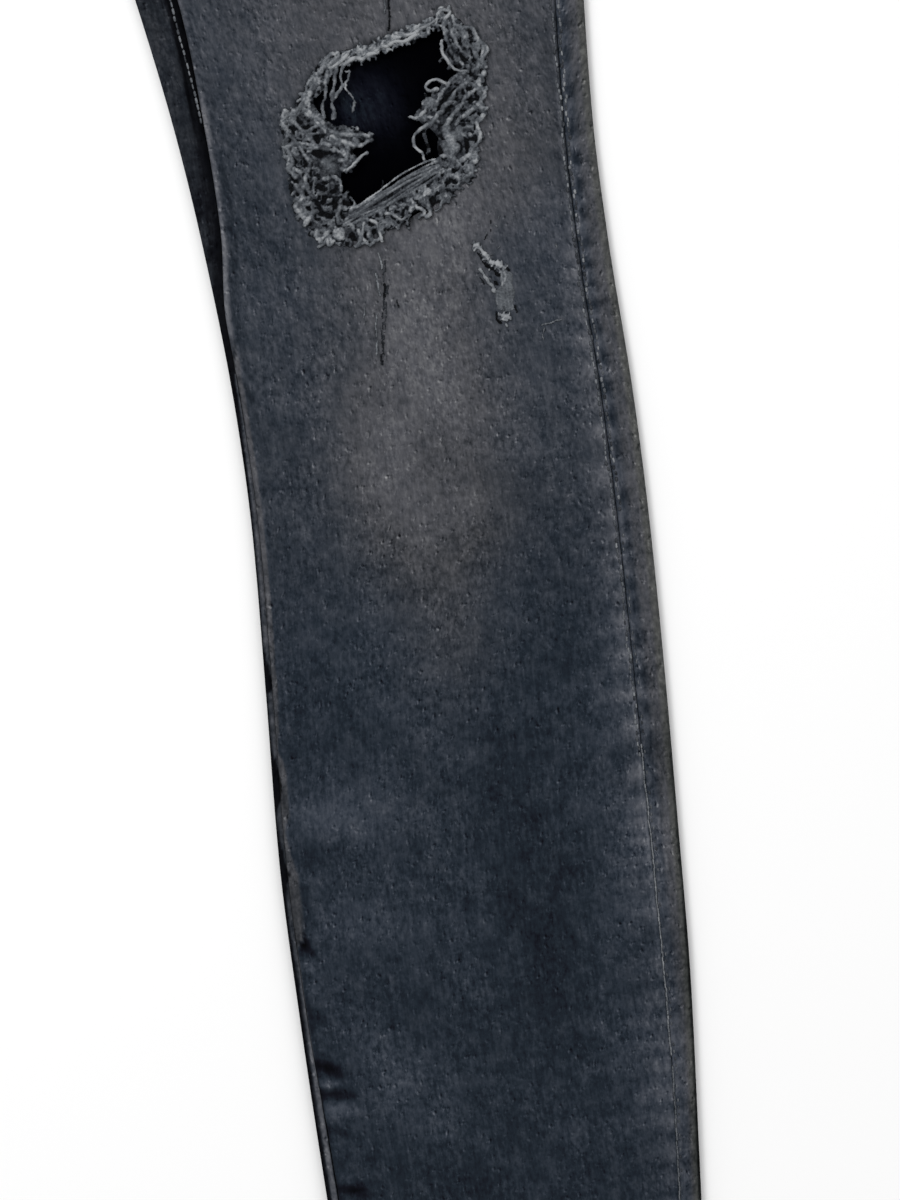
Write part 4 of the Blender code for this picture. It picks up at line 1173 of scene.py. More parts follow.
# Felted lumps: where each begins and ends, its radius and its tone
LUMPS = table(
    Lump,
    (24, 51.5, 25, 54.3, 1.9, 1.25), (28.4, 52.5, 28.6, 55.6, 0.9, 1.35), (35, 44, 36.4, 41.6, 1.6, 1.15),
    (44.7, 36.8, 44.6, 32.6, 1.3, 1.3), (17.5, 10.2, 21.8, 10.2, 2.6, 0.98),
    (14.3, 3.8, 17, 3.4, 2.2, 0.95), (27.5, -2, 28, -5, 2.3, 1), (30.5, -5, 29, -9, 2.6, 1.05),
    (26.5, -9, 28, -12, 2.2, 0.98), (31.5, -10.5, 30, -14, 2.4, 1.08), (33.5, -2, 34, -6, 2.2, 0.92),
    (40, -14, 40.8, -16.6, 1.8, 1.12), (38.8, -19.6, 37, -21.4, 1.8, 1.12),
    (35.4, -24.8, 33, -25.6, 1.5, 1.15), (44.5, 7.6, 46.5, 7.8, 1.3, 1.35),
    (17, -33.2, 18.8, -31, 1.4, 1.3), (26.6, -31.8, 28.2, -35.2, 1.1, 1.25),
    (22.4, -27.6, 22, -30.4, 1.5, 1), (12.2, -37.4, 10.4, -40.6, 1.2, 1.15),
    (43.4, 17.8, 43, 15, 1.4, 1.1), (38.4, -4, 38.6, -4.6, 0.9, 1.5), (-49, 4, -48.4, 0.8, 1.9, 1.25),
    (-44.4, 6.6, -44.2, 2.8, 1.3, 1.2), (-46.4, -18.8, -44.4, -20.6, 1.7, 1.22),
    (-42.6, -21.4, -41.2, -22.4, 1.3, 1.1), (-42, -38, -41, -42.4, 1.8, 1.12),
    (-39.6, -43.6, -38.4, -44.2, 1.6, 1.22), (-29.8, -49.4, -28.6, -51.6, 1.5, 1.22),
    (-24.4, -50.2, -23.2, -52.2, 1.6, 1.32), (-38.8, 13.6, -37.6, 10, 1.9, 1.18),
    (-33.5, -49.8, -32.4, -52.4, 1.2, 1.12), (-29.5, -17.5, -26.5, -20.5, 3.2, 0.78),
    (-15.8, -6, -14.8, -8.2, 1.6, 1.22), (-14.6, -1.4, -14.2, -2, 0.9, 1.35),
    (-8.8, -3.8, -7.2, -4.4, 0.9, 1.35),
)


# Gaps between the threads, dark with painted shade: where each begins and ends, and its half width
GAPS = table(
    Gap,
    (-43, 3, -43, -1, 0.9), (-38.5, -1.7, -34.5, -1.9, 1.5), (-33.6, -5.8, -33, -7.8, 1.3),
    (-37.4, -8.6, -36.2, -9.2, 0.8), (-46.5, -5.5, -46.3, -6.8, 1), (-43.5, -7.6, -41.2, -8.4, 0.9),
    (-30.4, -12, -26, -12.4, 1.7), (-26, -12.4, -22.6, -11.6, 1.3), (-34.6, -13, -31.6, -14.6, 1.3),
    (-39.2, -13, -38.2, -19, 1.1), (-44.5, -16, -43.6, -17.6, 0.9), (-36.8, -20, -36.2, -24, 0.7),
    (-45.6, -23.5, -43, -27, 1), (-42.8, -27, -42.4, -33, 0.8), (-39, -24, -37.8, -28, 1.1),
    (-36.8, -28.6, -38, -32.4, 1.2), (-26.8, -23.2, -25, -23.8, 0.8), (-33, -29, -31, -29.6, 1.3),
    (-29.6, -34, -30.4, -36.4, 1.3), (-26.4, -31.6, -24.2, -30.2, 1), (-37.4, -38.6, -36.8, -39.4, 1.2),
    (-33.2, -37, -31.8, -39.4, 1), (-25.2, -36.8, -24.6, -38, 1.3), (-20.6, -36.6, -18.6, -37.4, 1.2),
    (-31.2, -41.6, -27.2, -42.8, 1.4), (-22, -42, -21, -43.6, 0.8), (-41, -46, -36.5, -46.6, 0.8),
    (-17, -51.5, -15.6, -53.6, 1.3), (-8.5, -46.4, -7.2, -46.8, 0.9), (-6.2, -50.4, -5.4, -53, 1),
    (-10.6, -51, -11, -53.6, 0.7), (-12.4, -8.2, -11.6, -8, 0.7), (28.6, 38, 30.4, 31.5, 1),
    (32.6, 39.5, 33.8, 35.6, 0.9), (33.8, 35.6, 35.6, 30.8, 1.3), (39.6, 35, 40, 30, 0.8),
    (32.6, 27.4, 34, 27.6, 0.9), (31.6, 23.6, 30.4, 22.4, 0.9), (36, 26, 36.2, 24, 0.7),
    (38.6, 25.2, 38.8, 24, 0.7), (43.6, 25.6, 44, 24.4, 0.7), (44, 34.6, 43, 33, 0.8),
    (42, 42.6, 42, 41.8, 0.8), (38.4, 38.2, 38.8, 37, 0.8), (36.6, 42.8, 36.8, 41.8, 0.7),
    (29, 44.6, 29.4, 43.4, 0.7), (33, 46.2, 33, 45, 0.7), (31.6, 16.4, 26.6, 12.6, 1),
    (26.6, 12.6, 24, 8, 0.9), (24, 8, 22.6, 3, 0.7), (29, 9, 29.6, 8.6, 1), (32, 12.2, 32.4, 11.8, 1),
    (35, 16.2, 35.4, 15, 0.8), (37.8, 16.4, 38.5, 11.2, 1.1), (41, 16, 42, 12.4, 0.9),
    (29.3, 4.6, 29.8, 2.8, 1.2), (32.6, 3.2, 35.6, 1.6, 0.7), (33.6, 6.8, 35, 8.6, 0.6),
    (38.4, 5, 39.8, 5.6, 0.7), (42.5, 5.2, 43.5, 4.6, 0.7), (34, -9.4, 34, -12, 0.9),
    (37, -8, 37.6, -13, 1.1), (41.5, -7.8, 42, -9.2, 0.8), (24.6, -10.6, 24.2, -13, 1.1),
    (31, -21.6, 33.6, -22, 1.1), (35, -17.4, 35, -18.6, 0.8), (38.3, -17.4, 38.6, -18.2, 0.6),
    (30.4, -26.2, 31.6, -26.8, 1), (23.4, -19.6, 21.6, -24.6, 0.9), (21, -35, 22.2, -38.4, 1.6),
    (26, -38, 26.4, -38.8, 0.7), (12.6, -40.6, 13.8, -40, 1), (7.2, -40.4, 7, -42.6, 0.8),
    (1.8, -43, 2.6, -43.8, 0.7),
)


SPACING = 0.4  # between the points of a thread's path
# The least tones of the strands that lie over the mat, that also stand clear of it, and that are straightest
CLEAR, STANDING, STRAIGHT = 1.1, 1.45, 1.6


def curve_through(anchors, spacing=SPACING):
    """A smooth path through anchor points, in even steps."""
    anchors = np.array(anchors, float)
    count = max(4, int(np.hypot(*np.diff(anchors, axis=0).T).sum() / spacing))
    t = np.linspace(0, len(anchors) - 1, count)
    i = np.clip(t.astype(int), 0, len(anchors) - 2)
    f = (t - i)[:, None]
    padded = np.concatenate([[2 * anchors[0] - anchors[1]], anchors, [2 * anchors[-1] - anchors[-2]]])
    a, b, c, d = padded[i], padded[i + 1], padded[i + 2], padded[i + 3]
    return 0.5 * (2 * b + (c - a) * f + (2 * a - 5 * b + 4 * c - d) * f**2 + (3 * b - 3 * c + d - a) * f**3)


def curl_path(rng, start, heading, length, curl, spacing=SPACING):
    """A loose thread's path, turning as it goes."""
    steps = max(4, int(length / spacing))
    bend = np.zeros(steps)
    for k in range(1, steps):
        bend[k] = 0.86 * bend[k - 1] + rng.normal(0, curl * 0.45)
    angle = heading + np.cumsum(bend) * spacing
    walk = np.stack([np.cumsum(np.cos(angle)), np.cumsum(np.sin(angle))], axis=1) * spacing
    return np.concatenate([[start], start + walk])


def inside_of(polygon, u, v):
    """Which points lie inside a polygon."""
    inside = np.zeros(np.shape(u), bool)
    for (a, b), (c, d) in zip(polygon, polygon[1:] + polygon[:1]):
        if b != d:
            inside ^= ((b > v) != (d > v)) & (u < (c - a) * (v - b) / (d - b) + a)
    return inside


def crimped(path, far, phases, size, bend, seed):
    """A path with small bends of a given size to both sides."""
    bends = [wobble(far, phase, size, seed + k) for k, phase in enumerate(phases)]
    return path + bend * np.stack(bends, axis=1)


def strand_course(strand, number, spacing=SPACING):
    """A strand's path with the small bends of a crimped yarn, and how it swells and lightens on the way."""
    rng = np.random.default_rng(200 + number)
    loose = 0.35 if strand.tone >= STRAIGHT else 1.0
    anchors = np.array(strand.path) + loose * rng.normal(0, 0.30, (len(strand.path), 2))
    path = curve_through(anchors, spacing)
    far = np.arange(len(path)) * spacing
    phase = rng.uniform(0, 60, 5)
    path = crimped(path, far, phase[:2], 2.6, 0.50 * loose, 4)
    path = crimped(path, far, phase[2:4], 1.0, 0.30 * loose, 6)
    swell = 1.0 + 0.30 * wobble(far, phase[2], 1.8, 3) + 0.15 * wobble(far, phase[4], 0.9, 8)
    shade = 1.0 + 0.40 * wobble(far, phase[3], 2.4, 4)
    lift = 0.35 * wobble(far, phase[4], 3.5, 6)
    return path, swell, shade, lift


def lumpy(rng, path, radius, height, tone):
    """A stroke of worn yarn, that swells and thins, lightens and darkens on its way."""
    far = np.arange(len(path)) * SPACING
    swell, shade, lift = (wobble(far, rng.uniform(0, 60), size, 3) for size in (1.8, 2.4, 3.0))
    return Stroke(path, radius * (1 + 0.3 * swell), height + 0.3 * lift, tone * (1 + 0.30 * shade))


def in_fray(path):
    """A path up to where it leaves the frayed edge."""
    inside = inside_of(FRAY, *path.T)
    return path if inside.all() else path[: int(inside.argmin())]


def any_heading(rng):
    return rng.uniform(0, 2 * math.pi)


def matted_strokes(rng):
    """The short threads felted together round the rip."""
    strokes = []
    for strand in STRANDS:
        for _ in range(2):
            aside = rng.normal(0, 1.8, 2) + rng.normal(0, 0.9, (len(strand.path), 2))
            path = curve_through(np.array(strand.path) + aside)
            cut = int(len(path) * rng.uniform(0.0, 0.6))
            path = path[cut : max(cut + 8, int(len(path) * rng.uniform(0.5, 1.0)))]
            if not inside_of(OPENING, *path.mean(axis=0)):
                height = strand.height - rng.uniform(0.5, 1.2)
                tone = rng.uniform(0.55, 0.95)
                strokes.append(lumpy(rng, in_fray(path), strand.radius * rng.uniform(1.6, 2.0), height, tone))
    for tangle in TANGLES:
        for _ in range(tangle.count):
            r, a = math.sqrt(rng.uniform(0, 1)), any_heading(rng)
            start = (tangle.u + tangle.half_u * r * math.cos(a), tangle.v + tangle.half_v * r * math.sin(a))
            heading = math.radians(tangle.heading + rng.uniform(-tangle.either, tangle.either))
            path = curl_path(rng, start, heading, tangle.length * rng.uniform(0.6, 1.3), tangle.curl)
            level = rng.uniform(0, 1)
            # painted shade: the lower a thread lies in the tangle, the darker it is
            tone = tangle.tone * (0.50 + 0.62 * level)
            strokes.append(lumpy(rng, in_fray(path), rng.uniform(0.75, 1.15), 3.9 + 0.8 * level, tone))
    for fringe in FRINGES:
        line = curve_through(fringe.path)
        for _ in range(fringe.count):
            start = line[rng.integers(len(line))] + rng.normal(0, fringe.reach * 0.45, 2)
            path = curl_path(rng, start, any_heading(rng), fringe.length * rng.uniform(0.5, 1.2), 0.5)
            level = rng.uniform(0, 1)
            # painted shade: the lower a thread of fuzz lies, the darker it is
            tone = fringe.tone * (0.50 + 0.65 * level)
            strokes.append(lumpy(rng, in_fray(path), rng.uniform(0.60, 0.90), 4.1 + 0.7 * level, tone))
    return strokes


def clear_strokes(rng):
    """The lumps and yarns that lie over the matted threads."""
    strokes = []
    for lump in LUMPS:
        path = curve_through(((lump.u, lump.v), (lump.to_u, lump.to_v)))
        strokes.append(lumpy(rng, path, lump.radius, 5.2 - 0.6 * lump.radius, lump.tone))
    return strokes + band_strokes(rng)


def strand_strokes(clear):
    """The strands that lie over the mat, or those that lie in it."""
    strokes = []
    for number, strand in enumerate(STRANDS):
        if (strand.tone >= CLEAR) == clear:
            path, swell, shade, lift = strand_course(strand, number)
            light = 0.85 * strand.tone * shade
            strokes.append(Stroke(path, 1.75 * strand.radius * swell, strand.height - 0.4 + lift, light))
    return strokes


def band_strokes(rng):
    """The yarns left lying side by side along the lower edge of the hole."""
    upper = curve_through(((-17.5, -39.5), (-14.4, -37.6), (-5, -31.1), (5.6, -24), (17.4, -18.2), (24, -16)))
    lower = curve_through(((-21, -47.5), (-15, -45), (-2.6, -39.7), (10.3, -31.5), (22.1, -24.5), (29, -21)))
    share, lower_share = np.linspace(0, 1, len(upper)), np.linspace(0, 1, len(lower))
    lower = np.stack([np.interp(share, lower_share, column) for column in lower.T], axis=1)
    strokes = []
    count = 7
    along = share[:, None]
    far = along[:, 0] * 48
    for k in range(count):
        share = k / (count - 1) + 0.07 * np.sin(2 * np.pi * (along * rng.uniform(1, 2) + rng.uniform(0, 1)))
        path = upper + (lower - upper) * share + 0.3 * wobble(far, k * 5.1, 3.0, 8)[:, None]
        tone = (1.25 if k == 0 else rng.uniform(0.80, 1.25)) * (1 + 0.35 * wobble(far, k * 7.3, 5.0, 9))
        height = 4.45 + 0.5 * wobble(far, k * 3.1, 6.0, 10)
        radius = rng.uniform(0.65, 0.80) * (1 + 0.25 * wobble(far, k * 9.7, 2.5, 11))
        strokes.append(Stroke(path, radius, height, tone))
    return strokes


class Mat:
    """A felted sheet whose face is the upper side of many threads over each other, in millimetres."""

    def __init__(self, corner, size, cell, floor, base, under):
        self.corner, self.cell, self.floor, self.base = corner, cell, floor, base
        self.us = np.arange(corner[0], corner[0] + size[0] + cell, cell)
        self.vs = np.arange(corner[1], corner[1] + size[1] + cell, cell)
        self.u, self.v = np.meshgrid(self.us, self.vs, indexing="ij")
        self.height = np.full(self.u.shape, floor + base)
        self.solid, self.tone = under(self.u, self.v)

    def lay(self, strokes):
        """Lays strokes on what is there, each showing where it is the highest."""
        us, vs, cell = self.us, self.vs, self.cell
        path = np.concatenate([stroke.path for stroke in strokes])
        radius, level, light = (
            np.concatenate([np.broadcast_to(getattr(stroke, key), len(stroke.path)) for stroke in strokes])
            for key in ("radius", "height", "tone")
        )
        reach = int(np.ceil(radius.max() / cell)) + 1
        near = np.round((path - self.corner) / cell).astype(int)
        found = []
        for i in range(-reach, reach + 1):
            for j in range(-reach, reach + 1):
                a, b = near[:, 0] + i, near[:, 1] + j
                ok = (a >= 0) & (b >= 0) & (a < len(us)) & (b < len(vs))
                cell_u, cell_v = us[a.clip(0, len(us) - 1)], vs[b.clip(0, len(vs) - 1)]
                away = np.hypot(cell_u - path[:, 0], cell_v - path[:, 1])
                ok &= away < radius
                rise = np.sqrt(np.maximum(radius**2 - away**2, 0))
                top = level + rise
                # painted shade: each stroke darkens from its top towards its edges, where its sides turn away
                # from the light
                shade = light * (0.25 + 0.75 * np.sqrt(rise / radius))
                np.maximum.at(self.height, (a[ok], b[ok]), top[ok])
                found.append((a[ok], b[ok], top[ok], shade[ok]))
        for a, b, top, shade in found:
            wins = top >= self.height[a, b] - 1e-9
            self.tone[a[wins], b[wins]] = shade[wins]
            self.solid[a[wins], b[wins]] = True

    def sink(self, gaps):
        """Opens gaps down to the floor, with ragged edges, and darkens them with painted shade."""
        ragged = 1 + 0.35 * wobble(self.u, self.v, 1.1, 94)
        for gap in gaps:
            away = from_line(self.u, self.v, gap.u, gap.v, gap.to_u, gap.to_v)[0]
            deep = smooth((gap.radius * ragged - away) / 0.6 + 0.5)
            self.tone = self.tone * (1 - 0.97 * deep)
            self.height = self.height - 0.9 * deep * (self.height - self.floor - 0.1)

    def pit(self, size, share):
        """Sinks pits between the threads, darkened with painted shade, of a given size and more of them as
        share goes up.
        """
        noise = wobble(self.u, self.v, size, 90) + 0.30 * wobble(self.u, self.v, 0.5 * size, 91)
        deep = smooth((share - 0.5 - noise) / 0.22)
        self.tone = self.tone * (1 - 0.88 * deep)
        self.height = self.height - 0.7 * deep * (self.height - self.floor - self.base)

    def roughen(self):
        """The fuzz of worn yarn."""
        self.tone = self.tone * (1 + 0.22 * wobble(self.u, self.v, 0.9, 92))
        self.height = self.height + 0.12 * wobble(self.u, self.v, 0.8, 93)

    def build(self, name, to_frame, material, tint):
        solid = self.solid
        cells = solid[:-1, :-1] & solid[1:, :-1] & solid[1:, 1:] & solid[:-1, 1:]
        count = solid.size
        index = np.arange(count).reshape(solid.shape)
        top = np.stack([index[:-1, :-1], index[1:, :-1], index[1:, 1:], index[:-1, 1:]], axis=-1)
        padded = np.pad(cells, 1)
        faces = [top[cells], top[cells][:, ::-1] + count]
        for k, (i, j) in enumerate(((0, -1), (1, 0), (0, 1), (-1, 0))):
            open_side = cells & ~padded[1 + i : padded.shape[0] - 1 + i, 1 + j : padded.shape[1] - 1 + j]
            a, b = top[open_side][:, k], top[open_side][:, (k + 1) % 4]
            faces.append(np.stack([b, a, a + count, b + count], axis=-1))
        used, faces = np.unique(np.concatenate(faces), return_inverse=True)
        levels = (self.height, np.full(solid.shape, self.floor))
        verts = np.concatenate([to_frame(self.u, self.v, level).reshape(-1, 3) for level in levels])
        mesh = bpy.data.meshes.new(name)
        mesh.from_pydata(verts[used].tolist(), [], faces.reshape(-1, 4).tolist())
        add_layer(mesh, "tone", np.concatenate([self.tone.reshape(-1), self.tone.reshape(-1)])[used])
        add_layer(mesh, "tint", np.full(len(used), tint))
        return finish_mesh(name, mesh, material)


def from_knee(u, v, z):
    """A point of the rip in the frame, from millimetres right of and above the middle of the hole."""
    return points(KNEE_X + u * MM, KNEE_Y + v * MM, z * MM)


def rip_base(u, v):
    """Where the felted edge has something under its threads, and its tone there."""
    inside = np.ones(u.shape, bool)
    for du, dv in ((1, 0), (-1, 0), (0, 1), (0, -1)):
        inside &= inside_of(FRAY, u + 2.0 * du, v + 2.0 * dv)
        inside &= ~inside_of(OPENING, u + 0.9 * du, v + 0.9 * dv)
    return inside, 0.45 + 0.25 * wobble(u, v, 2.0, 77)


def make_fray(material):
    rng = np.random.default_rng(5)
    felt = Mat(corner=(-54, -62), size=(104, 122), cell=0.42, floor=4.15, base=0.25, under=rip_base)
    felt.lay(matted_strokes(rng) + strand_strokes(clear=False))
    felt.pit(size=1.7, share=0.17)
    felt.sink(GAPS)
    felt.lay(clear_strokes(rng) + strand_strokes(clear=True))
    felt.roughen()
    return felt.build("knee_fray", from_knee, material, 0.85)


def make_loose(material):
    """Threads that stand clear of the felted edge."""
    paths, radii, tones = [], [], []
    for number, strand in enumerate(STRANDS):
        if strand.tone >= STANDING:
            path, swell, shade, lift = strand_course(strand, number)
            path, swell, shade, lift = path[::2], swell[::2], shade[::2], lift[::2]
            paths.append(from_knee(*path.T, strand.height + 0.3 + lift))
            radii.append(strand.radius * MM * 1.45 * swell)
            tones.append(0.85 * strand.tone * shade)
    return tubes("knee_loose_threads", paths, radii, tones, 8, material)


# ---------------------------------------------------------------- the other pieces of cloth


def blank(grid, tone, size=0.03):
    """Tone and tint of a plain piece, a little uneven."""
    return tone + 0.05 * wobble(grid[..., 0], grid[..., 1], size, 3), np.full(grid.shape[:2], 0.15)


def make_yoke(side, material):
    section, _, (strip, folds, floor, _, outer_strip) = back_sections([WAIST_SEAM_DOWN], False)
    across = section[0, strip + folds - 1 :]
    column = np.arange(len(across))
    on_floor, on_strip = column < floor + 1, column >= len(column) - outer_strip
    top = np.where(on_floor, back_waist_down(across), back_waist_down(OUTLINE[1].outer))
    top = np.where(on_strip, front_waist_down(across), top) + HALF_GAP
    bottom = np.where(on_floor, yoke_down(across), yoke_down(OUTLINE[1].outer)) - HALF_GAP
    down, across, z = rows_between(top, bottom, np.linspace(0, 1, 12), False)
    grid = placed(down, across, z)
    tone, tint = blank(grid, 0.52)
    grain = np.stack([along_cloth(across, z), down], axis=-1)
    return cloth(f"yoke_{side}_cloth", grid, grain, tone, tint, material, mirrored=side == "right")


def make_facing(side, material):
    """The cloth that shows in a front pocket's opening."""
    seam = outseam_across(WAIST_SEAM_DOWN)
    share = np.linspace(0, 1.25, 16)[:, None]
    angle = np.linspace(0, np.pi / 2, 22)[None]
    x = seam - SCOOP_WIDTH * share * np.cos(angle)
    down = front_waist_down(x) + 2 * HALF_GAP + SCOOP_DEPTH * share * np.sin(angle)
    across = outseam_across(down) - HALF_GAP - SCOOP_WIDTH * share * np.cos(angle)
    x, y = plan(down, across)
    grid = points(x, y, front_height(down, across) - CLOTH - 2 * HALF_GAP)
    tone, tint = blank(grid, 0.46)
    # painted shade: darker towards the opening's edge, under the front's cut edge
    tone = tone - 0.20 * ease(share, 0.88, 0.1)
    grain = np.stack([across, down], axis=-1)
    return cloth(f"pocket_facing_{side}_cloth", grid, grain, tone, tint, material, mirrored=side == "right")


def band_place(x, down, layer, raised=0.0):
    """A point of the waistband: x is its place on the seam edge, and down how high it is."""
    place = x * read(OUTLINE, "outer", np.minimum(down, WAIST_SEAM_DOWN)) / OUTLINE[1].outer
    z = back_height(down) + (read(LEVELS, "lift", down) if layer == "front" else 0.0)
    return points(place, FORK_Y - down, z + raised)


def band_raise(x):
    """How far the waistband's overlapping end is raised."""
    return BAND_LAP_RISE * (1 - ease(x, BAND_UNDERLAP + 4 * HALF_GAP, BAND_RAMP))


BAND_STEPS = np.array([0, 0.4, 1.0, 2.0, 4.0, 9.0, 14.0, 19.0, 24.0, 29.0, 34.0, 36.0, 37.0, 37.6, 38.0]) * MM


def make_band(side, material):
    mirrored = side == "right"
    end = BAND_UNDERLAP if mirrored else BAND_LAP
    seam = outseam_across(WAIST_SEAM_DOWN)
    x = np.concatenate([-end + EDGE_STEPS[:7], np.linspace(-end + 0.008, seam, 46)])
    raised = 0 * x if mirrored else band_raise(x)
    turns = np.linspace(1, 0, 10)
    section, _, (strip, folds, floor, _, _) = back_sections([WAIST_SEAM_DOWN], False)
    back_x = section[0, strip + folds - 1 :][: floor + 1][::-1]
    rows = []
    for height in BAND_STEPS + HALF_GAP:
        swell = 0.0002 * smooth(min(height, BAND_HEIGHT - height) / 0.004 - 0.4)
        front = band_place(x, front_waist_down(x) - height, "front", raised + swell)
        side_down = np.full(len(turns), WAIST_SEAM_DOWN - height)
        across, z = fold_points(side_down, turns, True, DOUBLE_CLOTH)
        fold = placed(side_down, across, z)
        back = band_place(back_x, back_waist_down(back_x) - height, "back")
        rows.append(np.concatenate([front, fold, back]))
    grid = np.array(rows)
    steps = np.linalg.norm(np.diff(grid, axis=1), axis=2)
    far = np.concatenate([np.zeros((len(grid), 1)), np.cumsum(steps, axis=1)], axis=1)
    tone, tint = blank(grid, 0.50)
    height = np.broadcast_to((BAND_STEPS + HALF_GAP)[:, None], far.shape)
    tone = tone + 0.14 * (hill(height, 0.0012) + hill(height - BAND_HEIGHT, 0.0012))
    tone = tone - 0.06 * hill(np.minimum(height, BAND_HEIGHT - height) - 0.0025, 0.001)
    grain = np.stack([height, far], axis=-1)
    name = f"waistband_{side}_cloth"
    return cloth(name, grid, grain, tone, tint, material, thickness=DOUBLE_CLOTH, mirrored=mirrored)


ROPE_PITCH, ROPE_SLANT = 0.009, 0.020  # of the twisted wear of a washed hem
HEM_STEPS = np.array([0.0, 0.4, 1.0, 2.5, 5.0, 8.0, 10.0, 11.0, 12.0, 13.5, 15.0, 15.6, 16.0]) * MM


def make_hem(side, material):
    rise = (DOUBLE_CLOTH - CLOTH) / 2
    edge = DOUBLE_CLOTH / 2 + FOLD_RADIUS
    turns = np.linspace(0, 1, 10)
    rows, grain = [], []
    for down in HEM_DOWN - HEM_HEIGHT + HEM_STEPS:
        inside = width(down) - 2 * edge
        across = edge + inside * np.arange(1, 40) / 40
        level = np.full(len(across), down)
        fold = np.full(len(turns), down)
        sections = [
            (across, back_height(level)),
            fold_points(fold, turns, True, DOUBLE_CLOTH),
            (across[::-1], back_height(level) + read(LEVELS, "lift", down)),
            fold_points(fold, turns[::-1], False, DOUBLE_CLOTH),
        ]
        across = np.concatenate([a for a, _ in sections])
        z = np.concatenate([h for _, h in sections]) + rise
        across, z = np.append(across, across[0]), np.append(z, z[0])
        rows.append(placed(np.full(len(across), down), across, z))
        far = np.concatenate([[0], np.cumsum(np.hypot(np.diff(across), np.diff(z)))])
        grain.append(np.stack([far, np.full(len(far), down)], axis=-1))
    grid, grain = np.array(rows), np.array(grain)
    far, height = grain[..., 0], HEM_STEPS[:, None]
    turns = far / ROPE_PITCH + height / ROPE_SLANT + 0.5 * wobble(far, 0.0, 0.02, 4)
    rope = 0.5 + 0.5 * np.sin(2 * np.pi * turns)
    tone = 0.50 + 0.16 * rope * smooth(height / 0.006) + 0.14 * hill(height - 0.0158, 0.0010)
    tone = tone - 0.10 * hill(height - 0.0115, 0.0007)
    tint = np.full(grid.shape[:2], 0.35)
    name, mirrored = f"hem_{side}_cloth", side == "right"
    return cloth(name, grid, grain, tone, tint, material, thickness=DOUBLE_CLOTH, mirrored=mirrored)


LOOP_WIDTH = 0.011
LOOP_CLOTH = 0.0014
LOOPS = (
    ("loop_front_left", 0.098, "front"),
    ("loop_front_right", -0.098, "front"),
    ("loop_back_left", 0.125, "back"),
    ("loop_back_right", -0.125, "back"),
    ("loop_back_centre", 0.0, "back"),
)


def loop_middle(x, layer, t, lift=0.0):
    """Points up the middle of a belt loop, t from its lower end to its upper."""
    waist = front_waist_down(abs(x)) if layer == "front" else back_waist_down(abs(x))
    away = 1 if layer == "front" else -1
    down = waist + 0.007 + (0.001 - BAND_HEIGHT - 0.007) * t
    level = band_place(abs(x), np.minimum(down, WAIST_SEAM_DOWN), layer)[..., 2]
    bow = DOUBLE_CLOTH / 2 + 2 * HALF_GAP + LOOP_CLOTH / 2 + 0.0005 * np.sin(np.pi * t) + lift
    return down, level + away * bow


def make_loop(name, x, layer, material):
    t = np.concatenate([[0, 0.01, 0.03, 0.07], np.linspace(0.12, 0.88, 12), [0.93, 0.97, 0.99, 1]])
    side = np.array([-0.5, -0.47, -0.40, -0.28, -0.14, 0, 0.14, 0.28, 0.40, 0.47, 0.5]) * LOOP_WIDTH
    down, z = loop_middle(x, layer, t)
    grid = points(x + side[None], FORK_Y - down[:, None], z[:, None])
    tone, tint = blank(grid, 0.50, size=0.006)
    tone = tone + 0.15 * hill(np.abs(side) - LOOP_WIDTH / 2, 0.0008)[None]
    grain = np.stack(np.broadcast_arrays(side[None] + x, down[:, None]), axis=-1)
    return cloth(f"{name}_cloth", grid, grain, tone, tint, material, thickness=LOOP_CLOTH)


POCKET_CENTRE = (0.110, -0.146)
POCKET_TOP_HALF = 0.068
POCKET_LOW_HALF = 0.060
POCKET_SIDE = 0.118
POCKET_POINT = 0.145
POCKET_TILT = math.radians(4)


def make_back_pocket(side, material):
    t = np.concatenate([[0, 0.003, 0.008, 0.02], np.linspace(0.04, 0.96, 34), [0.98, 0.992, 0.997, 1]])
    s = np.concatenate([[-1, -0.995, -0.985, -0.96], np.linspace(-0.92, 0.92, 33), [0.96, 0.985, 0.995, 1]])
    t, s = t[:, None], s[None]
    narrowed = (POCKET_LOW_HALF - POCKET_TOP_HALF) * np.minimum(t * POCKET_POINT / POCKET_SIDE, 1)
    x = s * (POCKET_TOP_HALF + narrowed)
    drop = POCKET_SIDE + (POCKET_POINT - POCKET_SIDE) * (1 - np.abs(s))
    y = -t * drop
    cos, sin = math.cos(POCKET_TILT), math.sin(POCKET_TILT)
    place = (POCKET_CENTRE[0] + x * cos - y * sin, FORK_Y - POCKET_CENTRE[1] + (x * sin + y * cos))
    grid = points(*place, CLOTH / 2)
    rim = np.minimum(np.minimum((1 - np.abs(s)) * 0.064, t * drop), (1 - t) * drop)
    tone, tint = blank(grid, 0.50)
    for line in (0.0020, 0.0080):
        stitch = 0.5 + 0.5 * np.sin(2 * np.pi * (x + 0.8 * y) / 0.0033)
        tone = tone + 0.35 * stitch * hill(rim - line, 0.0005)
    grain = np.stack(np.broadcast_arrays(x, -y), axis=-1)
    return cloth(f"back_pocket_{side}_cloth", grid, grain, tone, tint, material, mirrored=side == "right")


# The button's outline, from the middle of its back to the middle of its face: radius in millimetres and share
# of its height
BUTTON_PROFILE = (
    (0, 0), (7.4, 0), (8.2, 0.15), (8.5, 0.45), (8.5, 0.75), (8.3, 0.93), (7.9, 1), (7.4, 0.99),
    (7, 0.9), (6.7, 0.74), (6.2, 0.68), (4.4, 0.7), (4, 0.78), (3.6, 0.8), (1.8, 0.88), (0, 0.9),
)


